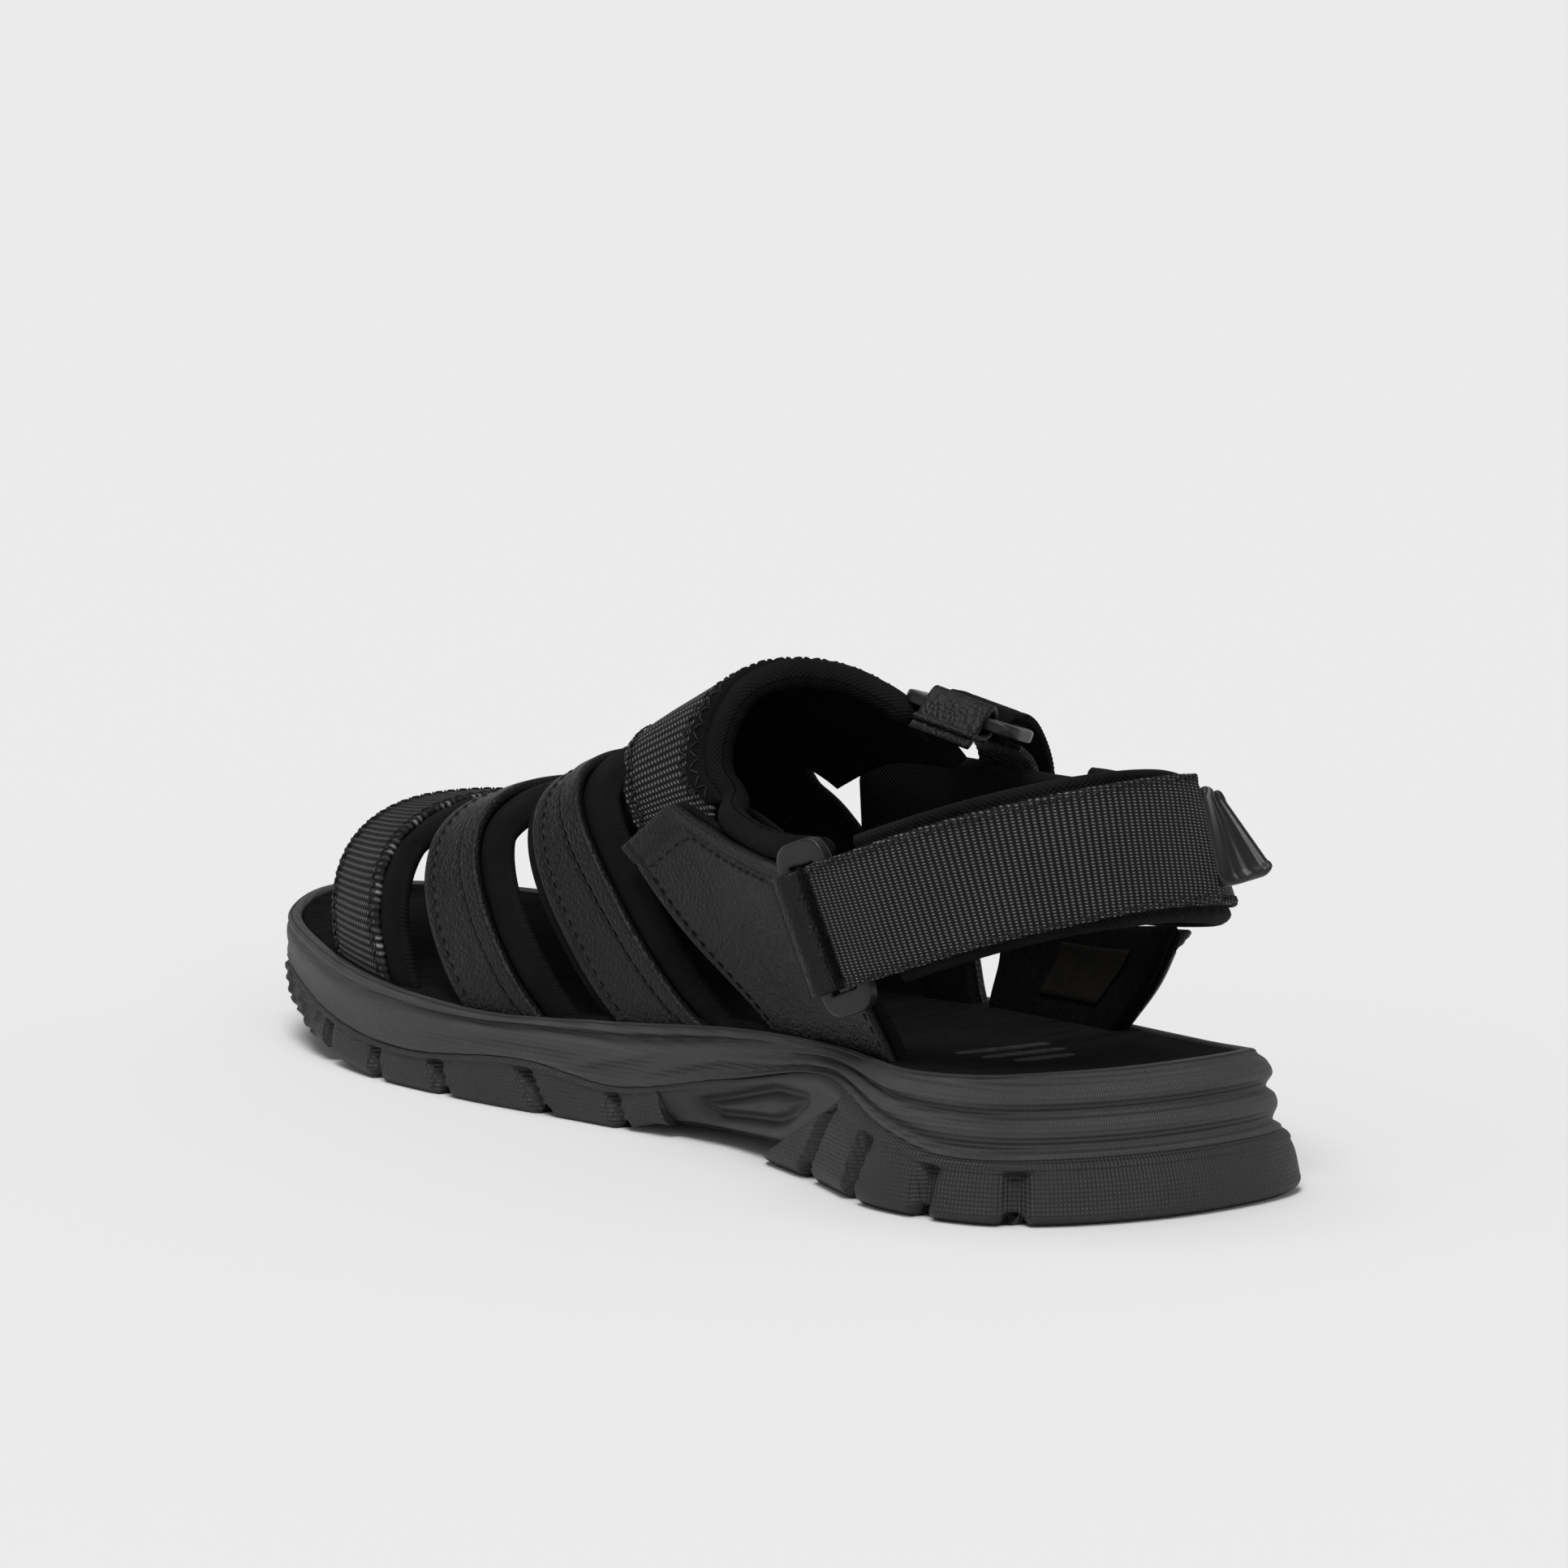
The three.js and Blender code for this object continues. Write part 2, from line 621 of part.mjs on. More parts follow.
// The pad's face: its second value is how far out the upper over it would lie.
const ANKLE_PATH = [
  [-69, 37.1, 60], [-50, 38.2, 59.2], [-30, 39, 59], [-12, 38.4, 58.6], [2, 36.4, 58], [9, 34.4, 57.5],
].map(([x, reach, z]) => [x, UPPER_THICKNESS - reach, z]);
const HEEL_CENTRE = patternPoint([-92, 3.7, 60]);
const RING_TILT = new THREE.Vector3(0.33, 0.2, 0.92).normalize();
const UPRIGHT = new THREE.Vector3(0.05, 0, 1).normalize();

// Every layer of a strap takes a slice of one list of frames, so that their faces stay parallel.
function pathFrames(rows, count, acrossAt, centre) {
  const curve = new THREE.CatmullRomCurve3(rows.map(patternPoint), false, 'centripetal');
  const points = [];
  for (let i = 0; i <= count; i += 1) points.push(curve.getPointAt(i / count));
  return frames(points, acrossAt, centre);
}

function heelAcross(t) {
  const share = THREE.MathUtils.clamp(t * 2.2, 0, 1);
  return RING_TILT.clone().lerp(UPRIGHT, share).normalize();
}

const HEEL_STEPS = 40;
const ANKLE_STEPS = 12;
const INSTEP_STEPS = 20;
const heelFrames = pathFrames(HEEL_PATH, HEEL_STEPS, heelAcross, HEEL_CENTRE);

// Layers of a closure, outwards from the face of the padding.
const UNDER_INNER = GAP;
const UNDER_OUTER = UNDER_INNER + WEBBING;
const LOOP_PATCH_INNER = UNDER_OUTER + GAP;
const LOOP_PATCH_OUTER = LOOP_PATCH_INNER + HOOK_PATCH;
const HOOK_PATCH_INNER = LOOP_PATCH_OUTER + GAP;
const HOOK_PATCH_OUTER = HOOK_PATCH_INNER + HOOK_PATCH;
const FLAP_INNER = HOOK_PATCH_OUTER + GAP;

// A ring, its keeper and a flap, in the ring's own frame:
// x runs along the strap away from the ring, y along the bars and z outwards.
const ringLength = (width) => width + 2 * (RING_CLEARANCE + RING_END);
const RING_ACROSS = RING_SLOT + 2 * RING_BAR;
const BAR_STEP = RING_SLOT + RING_BAR; // between the centres of the two bars

function roundedRectangle(path, halfX, halfY, radius) {
  path.moveTo(-halfX + radius, -halfY);
  path.lineTo(halfX - radius, -halfY);
  path.absarc(halfX - radius, -halfY + radius, radius, -Math.PI / 2, 0);
  path.lineTo(halfX, halfY - radius);
  path.absarc(halfX - radius, halfY - radius, radius, 0, Math.PI / 2);
  path.lineTo(-halfX + radius, halfY);
  path.absarc(-halfX + radius, halfY - radius, radius, Math.PI / 2, Math.PI);
  path.lineTo(-halfX, -halfY + radius);
  path.absarc(-halfX + radius, -halfY + radius, radius, Math.PI, Math.PI * 1.5);
  return path;
}

// The outer bar's centre is the origin; the inner bar lies BAR_STEP behind it.
function ringSolid(width) {
  const half = ringLength(width) / 2;
  const shape = roundedRectangle(new THREE.Shape(), RING_ACROSS / 2, half, RING_CORNER);
  const slot = roundedRectangle(new THREE.Path(), RING_SLOT / 2, half - RING_END, SLOT_CORNER);
  shape.holes.push(slot);
  const ring = new THREE.ExtrudeGeometry(shape, {
    depth: RING_BAR - 2 * RING_BEVEL,
    bevelThickness: RING_BEVEL,
    bevelSize: RING_BEVEL,
    bevelOffset: -RING_BEVEL,
    bevelSegments: 1,
    curveSegments: 3,
  });
  return ring.translate(-BAR_STEP / 2, 0, -(RING_BAR - 2 * RING_BEVEL) / 2);
}

// Half a turn of sheet round a bar at the origin, followed by a straight or curved run.
function turnFrames(radius, startAngle, endAngle, count) {
  const list = [];
  for (let i = 0; i <= count; i += 1) {
    const angle = startAngle + (endAngle - startAngle) * i / count;
    list.push({
      p: new THREE.Vector3(Math.cos(angle) * radius, 0, Math.sin(angle) * radius),
      across: new THREE.Vector3(0, 1, 0),
      out: new THREE.Vector3(Math.cos(angle), 0, Math.sin(angle)),
    });
  }
  return list;
}

// The bar is square with bevelled edges, so the sheet clears its corners.
const BAR_REACH = RING_BAR * 0.62;
const TURN_RADIUS = BAR_REACH + BAR_CLEARANCE + WEBBING / 2;

function keeperSolid(width) {
  const turn = turnFrames(BAR_REACH + BAR_CLEARANCE + OVERLAY / 2, -Math.PI / 2, Math.PI / 2, 8);
  return strip(turn, width - 2 * KEEPER_MARGIN, -OVERLAY / 2, OVERLAY / 2).translate(-BAR_STEP, 0, 0);
}

// Turns a frame into a matrix: x away along the strap, y along the bars, z outwards.
function ringMatrix(frame, lift) {
  const origin = frame.p.clone().addScaledVector(frame.out, lift);
  const way = frame.way.clone();
  const across = frame.out.clone().cross(way);
  return new THREE.Matrix4().makeBasis(way, across, frame.out).setPosition(origin);
}

// The flap: a turn round the outer bar, then the outer run along the strap.
function flapFrames(matrix, run, settle) {
  const turn = turnFrames(TURN_RADIUS, Math.PI * 1.5, Math.PI * 0.5, 8);
  const placed = turn.map((f) => ({
    p: f.p.applyMatrix4(matrix),
    across: f.across.transformDirection(matrix),
    out: f.out.transformDirection(matrix),
  }));
  const barLift = RING_LIFT + TURN_RADIUS;
  run.forEach((f, i) => {
    const t = THREE.MathUtils.smoothstep(i / run.length, 0, settle);
    const lift = barLift + (FLAP_INNER + WEBBING / 2 - barLift) * t;
    const across = f.across.clone();
    if (across.dot(placed[0].across) < 0) across.negate();
    placed.push({ p: f.p.clone().addScaledVector(f.out, lift), across, out: f.out });
  });
  return placed;
}

// The ring lies over the padding with room to rock.
const RING_LIFT = UNDER_OUTER + BAR_CLEARANCE + RING_BAR / 2 + RING_ROCK;

// ---- Heel closure ----

// Frames of the path that each layer takes.
const HEEL_SPANS = { webbing: [3, -2], loops: [7, 20], hooks: [11, 20], flap: [1, 20] };
const HEEL_TAB_FLARE = 5; // how far the end of the tab stands off
const heelRingMatrix = ringMatrix(heelFrames[0], RING_LIFT);
const heelFlapFrames = flapFrames(heelRingMatrix, heelFrames.slice(...HEEL_SPANS.flap), 0.45);

// ---- Instep closure ----

const INSTEP_SPANS = { webbing: [3, 20], loops: [11, 19], hooks: [12, 18], flap: [2, 18] };
const INSTEP_TAB_FLARE = 2;
const INSTEP_PATH = [
  [-37.4, -23.4, 77.4], [-33, -31, 75.4], [-29, -37.2, 70.4], [-26.4, -39.3, 61], [-25.4, -38.9, 51],
];
const INSTEP_CENTRE = patternPoint([-40, 3.7, 45]);
const ALONG_SOLE = new THREE.Vector3(0.95, 0.24, 0.2).normalize();
const instepFrames = pathFrames(INSTEP_PATH, INSTEP_STEPS, () => ALONG_SOLE, INSTEP_CENTRE);
const instepRingMatrix = ringMatrix(instepFrames[0], RING_LIFT);
const instepFlapFrames = flapFrames(instepRingMatrix, instepFrames.slice(...INSTEP_SPANS.flap), 0.5);

// A stiff tab over the end of a flap, flared away from the foot.
function pullTab(flap, width, flare) {
  const last = flap[flap.length - 1];
  const before = flap[flap.length - 2];
  const way = last.p.clone().sub(before.p).normalize();
  const list = [0, 0.5, 1].map((t) => ({
    p: last.p.clone()
      .addScaledVector(way, GAP + t * TAB_LENGTH)
      .addScaledVector(last.out, flare * t * t),
    across: last.across,
    out: last.out,
  }));
  return strip(list, width - 2 * TAB_MARGIN, -TAB_THICKNESS / 2, TAB_THICKNESS / 2);
}

// ---- Materials ----

const material = (color, roughness, metalness = 0) => (
  new THREE.MeshStandardMaterial({ color, roughness, metalness })
);
const RUBBER = material(0x1b1b1d, 0.75);
const FOAM = material(0x2b2b2e, 0.85);
const SUEDE = material(0x131315, 0.95);
const NEOPRENE = material(0x18181a, 0.9);
const LEATHER = material(0x1d1d20, 0.55);
const WEAVE = material(0x26262a, 0.7);
const PLASTIC = material(0x222225, 0.35);
const HOOKS = material(0x101012, 0.95);

const sandal = new THREE.Group();
sandal.name = 'strappy_sport_sandal';

function add(name, geometry, finish) {
  const mesh = new THREE.Mesh(closed(geometry), finish.clone());
  mesh.name = name;
  sandal.add(mesh);
  return mesh;
}

// ---- Assembly: sole ----

const STRAPS = { toe_strap: TOE_STRAP, second_strap: SECOND_STRAP, third_strap: THIRD_STRAP };

const QUARTERS = [
  ['medial_quarter', MEDIAL_QUARTER_FOOT, MEDIAL_QUARTER_TOP, 1],
  ['lateral_front_quarter', LATERAL_FRONT_FOOT, LATERAL_FRONT_TOP, -1],
  ['lateral_heel_quarter', LATERAL_HEEL_FOOT, LATERAL_HEEL_TOP, -1],
];

function notchTools() {
  const tools = Object.values(STRAPS).flatMap((strap) => deepened(notchBand(strap), STRAP_END));
  for (const [, foot, top, side] of QUARTERS) {
    const wide = { front: foot.front + QUARTER_LINING_SHOW + NOTCH_ROOM, rear: foot.rear - NOTCH_ROOM };
    const tool = quarter(wide, top, side, LINING_INNER - NOTCH_ROOM, NOTCH_OPENING);
    tools.push(...deepened(tool, QUARTER_END));
  }
  return tools;
}

add('outsole_heel', heelOutsole(), RUBBER);
add('outsole_forefoot', forefootOutsole(), RUBBER);
add('arch_bridge', archBridge(), PLASTIC);
add('midsole', midsole(), FOAM);
const notches = notchTools();
const FOAM_TOP = FOOTBED_DEPTH - FOOTBED_COVER - GAP;
add('footbed_foam', footbedLayer(GAP, FOAM_TOP, notches), FOAM);
add('footbed_cover', footbedLayer(FOAM_TOP + GAP, FOOTBED_DEPTH, notches), SUEDE);

// ---- Assembly: upper ----

for (const [name, strap] of Object.entries(STRAPS)) {
  const finish = name === 'toe_strap' ? WEAVE : LEATHER;
  add(`${name}_lining`, liningBand(strap), NEOPRENE);
  add(name === 'toe_strap' ? 'toe_strap_webbing' : `${name}_leather`, overlayBand(strap), finish);
}
add('spine_front', spineBand(TOE_STRAP, SECOND_STRAP.front, SECOND_STRAP.liningFront), NEOPRENE);
add('spine_middle', spineBand(SECOND_STRAP, THIRD_STRAP.front, THIRD_STRAP.liningFront), NEOPRENE);
add('spine_rear', spineBand(THIRD_STRAP, INSTEP_FRONT, 0), NEOPRENE);
add('instep_lining', instepBand(LINING_INNER, LINING_OUTER, 0), NEOPRENE);
add('instep_webbing', instepBand(GAP - OVERLAY, 0, OVERLAY_MARGIN), WEAVE);
add('collar_roll', roll(collarPath(), COLLAR_RADIUS, 36), NEOPRENE);

for (const [name, foot, top, side] of QUARTERS) {
  const wide = { front: foot.front + QUARTER_LINING_SHOW, rear: foot.rear };
  add(`${name}_lining`, quarter(wide, top, side, LINING_INNER, LINING_OUTER), NEOPRENE);
  add(`${name}_leather`, quarter(foot, top, side, -OVERLAY, 0), LEATHER);
}

// ---- Assembly: heel and instep closures ----

// The webbing, patches, flap, ring and keeper of a closure, from shared frames of its path.
// Each entry of spans gives the frames that a layer takes.
function addClosure(name, { path, flap, matrix, width, spans, flare, webbing }) {
  const layer = (span, across, inner, outer) => strip(path.slice(...span), across, inner, outer);
  const patchWidth = width - 2 * PATCH_MARGIN;
  add(webbing, layer(spans.webbing, width, UNDER_INNER, UNDER_OUTER), WEAVE);
  add(`${name}_loop_patch`, layer(spans.loops, patchWidth, LOOP_PATCH_INNER, LOOP_PATCH_OUTER), HOOKS);
  add(`${name}_hook_patch`, layer(spans.hooks, patchWidth, HOOK_PATCH_INNER, HOOK_PATCH_OUTER), HOOKS);
  add(`${name}_flap_webbing`, strip(flap, width, -WEBBING / 2, WEBBING / 2), WEAVE);
  add(`${name}_pull_tab`, pullTab(flap, width, flare), PLASTIC);
  add(`${name}_ring`, ringSolid(width).applyMatrix4(matrix), PLASTIC);
  add(`${name}_ring_keeper`, keeperSolid(width).applyMatrix4(matrix), LEATHER);
}

add('heel_strap_pad', strip(heelFrames.slice(1), PAD_WIDTH, -PAD, 0), NEOPRENE);
addClosure('heel', {
  path: heelFrames,
  flap: heelFlapFrames,
  matrix: heelRingMatrix,
  width: HEEL_WEBBING_WIDTH,
  spans: HEEL_SPANS,
  flare: HEEL_TAB_FLARE,
  webbing: 'heel_strap_webbing',
});
const ankleFrames = pathFrames(ANKLE_PATH, ANKLE_STEPS, () => UPRIGHT, INSTEP_CENTRE);
add('lateral_ankle_pad', strip(ankleFrames, ANKLE_PAD_WIDTH, -PAD, 0), NEOPRENE);
addClosure('instep', {
  path: instepFrames,
  flap: instepFlapFrames,
  matrix: instepRingMatrix,
  width: INSTEP_WEBBING_WIDTH,
  spans: INSTEP_SPANS,
  flare: INSTEP_TAB_FLARE,
  webbing: 'instep_strap_webbing',
});

export default sandal;
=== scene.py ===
"""Looks of the strappy sport sandal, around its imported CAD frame.

The frame is in metres; the shapes here are worked out in millimetres and scaled once.
+X runs to the toe, +Y to the inner side of the foot and +Z up.
"""

import math

import bmesh
import bpy
import numpy as np
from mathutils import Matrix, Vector


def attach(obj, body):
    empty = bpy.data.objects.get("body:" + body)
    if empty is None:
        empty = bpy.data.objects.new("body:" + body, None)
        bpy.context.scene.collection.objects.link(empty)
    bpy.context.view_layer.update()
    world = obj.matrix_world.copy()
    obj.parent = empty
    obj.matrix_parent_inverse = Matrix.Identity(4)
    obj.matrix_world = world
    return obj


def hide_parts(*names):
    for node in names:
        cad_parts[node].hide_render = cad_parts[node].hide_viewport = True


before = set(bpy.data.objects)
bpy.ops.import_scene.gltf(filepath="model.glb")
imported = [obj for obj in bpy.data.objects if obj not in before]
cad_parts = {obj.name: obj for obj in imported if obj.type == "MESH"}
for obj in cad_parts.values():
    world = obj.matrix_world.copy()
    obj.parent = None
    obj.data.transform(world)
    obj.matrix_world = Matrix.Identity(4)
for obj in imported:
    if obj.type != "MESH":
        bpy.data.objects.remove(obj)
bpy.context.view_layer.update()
MM = 0.001

# ---------------------------------------------------------------- curves and stations


def stations(rows):
    """A smooth function through [x, value] stations, flat beyond both ends."""
    xs = np.array([r[0] for r in rows], float)
    vs = np.array([r[1] for r in rows], float)
    last = len(xs) - 1
    before = np.maximum(np.arange(len(xs)) - 1, 0)
    after = np.minimum(np.arange(len(xs)) + 1, last)
    slope = (vs[after] - vs[before]) / (xs[after] - xs[before])

    def value(x):
        x = np.clip(np.asarray(x, float), xs[0], xs[-1])
        i = np.clip(np.searchsorted(xs, x, side="right") - 1, 0, last - 1)
        span = xs[i + 1] - xs[i]
        t = (x - xs[i]) / span
        return (
            vs[i] * (2 * t**3 - 3 * t**2 + 1)
            + slope[i] * span * (t**3 - 2 * t**2 + t)
            + vs[i + 1] * (3 * t**2 - 2 * t**3)
            + slope[i + 1] * span * (t**3 - t**2)
        )

    return value


def smooth(x, a, b):
    """Eases from 0 at a to 1 at b; a may be the larger."""
    t = np.clip((np.asarray(x, float) - a) / (b - a), 0, 1)
    return t * t * (3 - 2 * t)


def dent(d, at, depth, spread):
    """A soft groove where the distance d is near at."""
    return -depth * np.exp(-(((d - at) / spread) ** 2))


def rounded(share, least=0.0):
    """The height of a quarter round, from 0 at its foot to 1 at its top."""
    return np.sqrt(np.clip(1 - (1 - np.clip(share, 0, 1)) ** 2, least, 1))


def spline(points, closed=False, fine=40):
    """Centripetal Catmull-Rom through the points, as a dense polyline."""
    p = np.array(points, float)
    n = len(p)
    if closed:
        q = np.vstack([p[-1], p, p[0], p[1]])
        count = n
    else:
        q = np.vstack([2 * p[0] - p[1], p, 2 * p[-1] - p[-2]])
        count = n - 1
    out = []
    t = np.linspace(0, 1, fine, endpoint=False)[:, None]
    for i in range(count):
        a, b, c, d = q[i : i + 4]
        d0, d1, d2 = (max(np.linalg.norm(v) ** 0.5, 1e-4) for v in (b - a, c - b, d - c))
        m1 = ((b - a) / d0 - (c - a) / (d0 + d1) + (c - b) / d1) * d1
        m2 = ((c - b) / d1 - (d - b) / (d1 + d2) + (d - c) / d2) * d1
        out.append(b + m1 * t + (3 * (c - b) - 2 * m1 - m2) * t**2 + (2 * (b - c) + m1 + m2) * t**3)
    line = np.vstack(out)
    return np.vstack([line, line[:1] if closed else p[-1:]])


def arc(line):
    return np.concatenate([[0], np.cumsum(np.linalg.norm(np.diff(line, axis=0), axis=1))])


def sample(at, s, table):
    """A table's rows, interpolated at distances along it."""
    return np.stack([np.interp(at, s, column) for column in table.T], -1)


def resample(line, count):
    """count points evenly spaced along a polyline, both ends included."""
    s = arc(line)
    return sample(np.linspace(0, s[-1], count), s, line)


def unit(v):
    return v / np.maximum(np.linalg.norm(v, axis=-1, keepdims=True), 1e-9)


# ---------------------------------------------------------------- sole

LENGTH = 296.0
WIDTH = 106.0
TOE_SPRING = 19.0
TOE_SPRING_LENGTH = 88.0


def along(rows):
    return stations([(share * LENGTH, value) for share, value in rows])


rim_top = along([
    (-0.5, 28.6), (-0.375, 26.6), (-0.25, 25.8), (-0.125, 23.6), (0, 20.4),
    (0.125, 18.2), (0.25, 20), (0.375, 23.4), (0.5, 28.2),
])
parting = along([
    (-0.5, 12.4), (-0.42, 12), (-0.36, 15.6), (-0.27, 21), (-0.13, 14), (-0.02, 8.2),
    (0.075, 10.4), (0.2, 7.6), (0.32, 10.4), (0.42, 16.4), (0.5, 22.6),
])
rim_inset = along([(-0.5, 9), (-0.3, 8), (0, 5), (0.3, 2.6), (0.5, 1.6)])
toe_inset = along([(0.36, 0), (0.5, 2.4)])
RIM_LIP = 2.4


def ground(x):
    t = np.clip((np.asarray(x, float) - (LENGTH / 2 - TOE_SPRING_LENGTH)) / TOE_SPRING_LENGTH, 0, 1.05)
    return TOE_SPRING * t * t


OUTLINE_SHARES = [
    (-0.5, 0.03), (-0.465, 0.33), (-0.375, 0.43), (-0.25, 0.37), (-0.125, 0.33), (0, 0.38),
    (0.125, 0.445), (0.25, 0.465), (0.36, 0.41), (0.45, 0.31), (0.5, 0.1), (0.45, -0.245),
    (0.36, -0.445), (0.25, -0.535), (0.125, -0.5), (0, -0.45), (-0.125, -0.41),
    (-0.25, -0.38), (-0.375, -0.38), (-0.465, -0.335),
]
COLUMNS = 560


def outline():
    """The sole's plan, centred and scaled to its length and width."""
    corners = [(x * LENGTH, y * WIDTH) for x, y in OUTLINE_SHARES]
    line = resample(spline(corners, closed=True), COLUMNS + 1)[:-1]
    low, high = line.min(0), line.max(0)
    return (line - (low + high) / 2) * np.array([LENGTH, WIDTH]) / (high - low)


OUT = outline()
_after, _before = np.roll(OUT, -1, 0), np.roll(OUT, 1, 0)
INWARD = unit(np.stack([_after[:, 1] - _before[:, 1], _before[:, 0] - _after[:, 0]], 1))
_round = arc(np.vstack([OUT, OUT[:1]]))
ARC, PERIMETER = _round[:-1], _round[-1]
MIRROR = (COLUMNS - np.arange(COLUMNS)) % COLUMNS


def ring(inset, height):
    """The outline moved inwards, at a height; both may be arrays over the outline."""
    xy = OUT + INWARD * np.broadcast_to(inset, (COLUMNS,))[:, None]
    return np.column_stack([xy, np.broadcast_to(height, (COLUMNS,))])


def middle_of(points):
    """Half way between each point of a ring and its partner on the other side."""
    return (points + points[MIRROR]) / 2


X0 = OUT[:, 0]


def side_table(inset, side):
    pts = OUT + INWARD * inset(X0)[:, None]
    own = pts[pts[:, 1] * side > -4]
    return own[np.argsort(own[:, 0])]


def upper_inset(x):
    return rim_inset(x) + RIM_LIP + 0.3


SIDES = {side: side_table(upper_inset, side) for side in (1, -1)}


def side_at(x, side):
    table = SIDES[side]
    return np.interp(x, table[:, 0], table[:, 1])


# ---------------------------------------------------------------- foot form

ridge_height = stations([
    (-60, 96), (-30, 95), (-12, 92.5), (8, 83.5), (30, 71.3), (50, 63.8), (75, 57.3),
    (95, 53.4), (115, 51), (135, 48.6),
])
ridge_side = stations([(-60, 6.7), (0, 8.7), (40, 11.7), (75, 10.7), (115, 5.7)])
section_power = stations([(-60, 2.1), (0, 2.2), (60, 2.35), (130, 2.4)])
EDGE_LEAN = 0.7


def form_point(x, v):
    x, v = np.broadcast_arrays(np.asarray(x, float), np.asarray(v, float))
    turn = np.minimum(np.abs(v), 1) * math.pi / 2
    power = 2 / section_power(x)
    mid = ridge_side(x)
    edge = np.where(v >= 0, side_at(x, 1), side_at(x, -1))
    y = mid + (edge - mid) * np.sin(turn) ** power
    foot = rim_top(x)
    z = foot + (ridge_height(x) - foot) * np.maximum(np.cos(turn), 0) ** power
    return np.stack([x, y, z - np.maximum(np.abs(v) - 1, 0) * 100], -1)


def on_form(x, v, lift):
    """Points of the foot form lifted along its outward normal, and the normals."""
    vc = np.clip(v, -1, 1)
    along_x = form_point(x + 1, vc) - form_point(x - 1, vc)
    around = form_point(x, v + 0.02) - form_point(x, v - 0.02)
    normal = unit(np.cross(along_x, around))
    flat = normal[..., 2] < -0.05
    normal = np.where(flat[..., None], unit(normal * np.array([1, 1, 0])), normal)
    return form_point(x, v) + normal * np.asarray(lift)[..., None], normal


def edge_at(edge, v):
    medial, ridge, lateral = edge
    foot = np.where(v > 0, medial, lateral)
    turn = np.minimum(np.abs(v), 1) * math.pi / 2
    return foot + (ridge - foot) * np.maximum(np.cos(turn), 0) ** EDGE_LEAN


# ---------------------------------------------------------------- mesh making

def new_object(name, data):
    obj = bpy.data.objects.new(name, data)
    bpy.context.scene.collection.objects.link(obj)
    return obj


def make(name, points, faces, material, uvs=None, shade=True):
    """A mesh from millimetre points, turned to face outwards."""
    mesh = bpy.data.meshes.new(name)
    faces = face_outwards(points, faces)
    mesh.from_pydata((np.asarray(points, float) * MM).tolist(), [], faces)
    mesh.validate(clean_customdata=False)
    obj = new_object(name, mesh)
    if uvs is not None:
        layer = mesh.uv_layers.new(name="UVMap")
        index = np.zeros(len(mesh.loops), int)
        mesh.loops.foreach_get("vertex_index", index)
        layer.data.foreach_set("uv", np.asarray(uvs, float)[index].astype(np.float32).ravel())
    mesh.polygons.foreach_set("use_smooth", [shade] * len(mesh.polygons))
    mesh.materials.append(material)
    mesh.update()
    return obj


def face_outwards(points, faces):
    """Turns every face over if the closed mesh's volume is negative."""
    p = np.asarray(points, float)
    total = 0.0
    for sides in (3, 4):
        f = np.array([f for f in faces if len(f) == sides], int).reshape(-1, sides)
        for k in range(1, sides - 1):
            total += np.sum(p[f[:, 0]] * np.cross(p[f[:, k]], p[f[:, k + 1]]))
    return [f[::-1] for f in faces] if total < 0 else faces


def loft(name, rows, material, uvs):
    """A closed skin over rows of closed loops, with a flat cap of strips at each end."""
    count, around = rows.shape[:2]
    faces = []
    for r in range(count - 1):
        for c in range(around):
            a, b = r * around + c, r * around + (c + 1) % around
            faces.append((a, b, b + around, a + around))
    for r in (0, count - 1):
        first, last = r * around, (r + 1) * around - 1
        for c in range((around - 1) // 2):
            # the last strip of an odd loop is a triangle
            strip = tuple(dict.fromkeys((first + c, first + c + 1, last - c - 1, last - c)))
            faces.append(strip if r else strip[::-1])
    return make(name, rows.reshape(-1, 3), faces, material, uvs.reshape(-1, 2))


def sheet(name, low, high, material, uvs):
    """A closed sheet: the outer grid, the inner grid and walls round the border."""
    rows, cols = low.shape[:2]
    base = rows * cols
    faces = []
    for r in range(rows - 1):
        for c in range(cols - 1):
            a = r * cols + c
            faces.append((a, a + 1, a + cols + 1, a + cols))
            faces.append(tuple(base + i for i in faces[-1][::-1]))
    border = list(range(cols))
    border += [r * cols + cols - 1 for r in range(1, rows)]
    border += [(rows - 1) * cols + c for c in range(cols - 2, -1, -1)]
    border += [r * cols for r in range(rows - 2, 0, -1)]
    for a, b in zip(border, border[1:] + border[:1]):
        faces.append((b, a, base + a, base + b))
    points = np.vstack([high.reshape(-1, 3), low.reshape(-1, 3)])
    return make(name, points, faces, material, np.vstack([uvs.reshape(-1, 2)] * 2))


EDGE_POINTS = 5


def section(across):
    """A flat section with rounded edges, as three columns: the share across, how far the
    edge bulges there, and the height from 1 on the outer face to -1 on the inner one."""
    turns = [math.pi * k / (EDGE_POINTS + 1) for k in range(1, EDGE_POINTS + 1)]
    rows = [(s, 0.0, 1.0) for s in np.linspace(0, 1, across)]
    rows += [(1.0, math.sin(a), math.cos(a)) for a in turns]
    rows += [(s, 0.0, -1.0) for s in np.linspace(1, 0, across)]
    rows += [(0.0, math.sin(a), -math.cos(a)) for a in turns]
    return np.array(rows).T


def outer_share(level):
    """How much of a lift a section's point takes: 1 outside, 0 inside."""
    return np.where(level > 0.9, 1, np.where(level < -0.9, 0, (1 + level) / 2))


# ---------------------------------------------------------------- materials


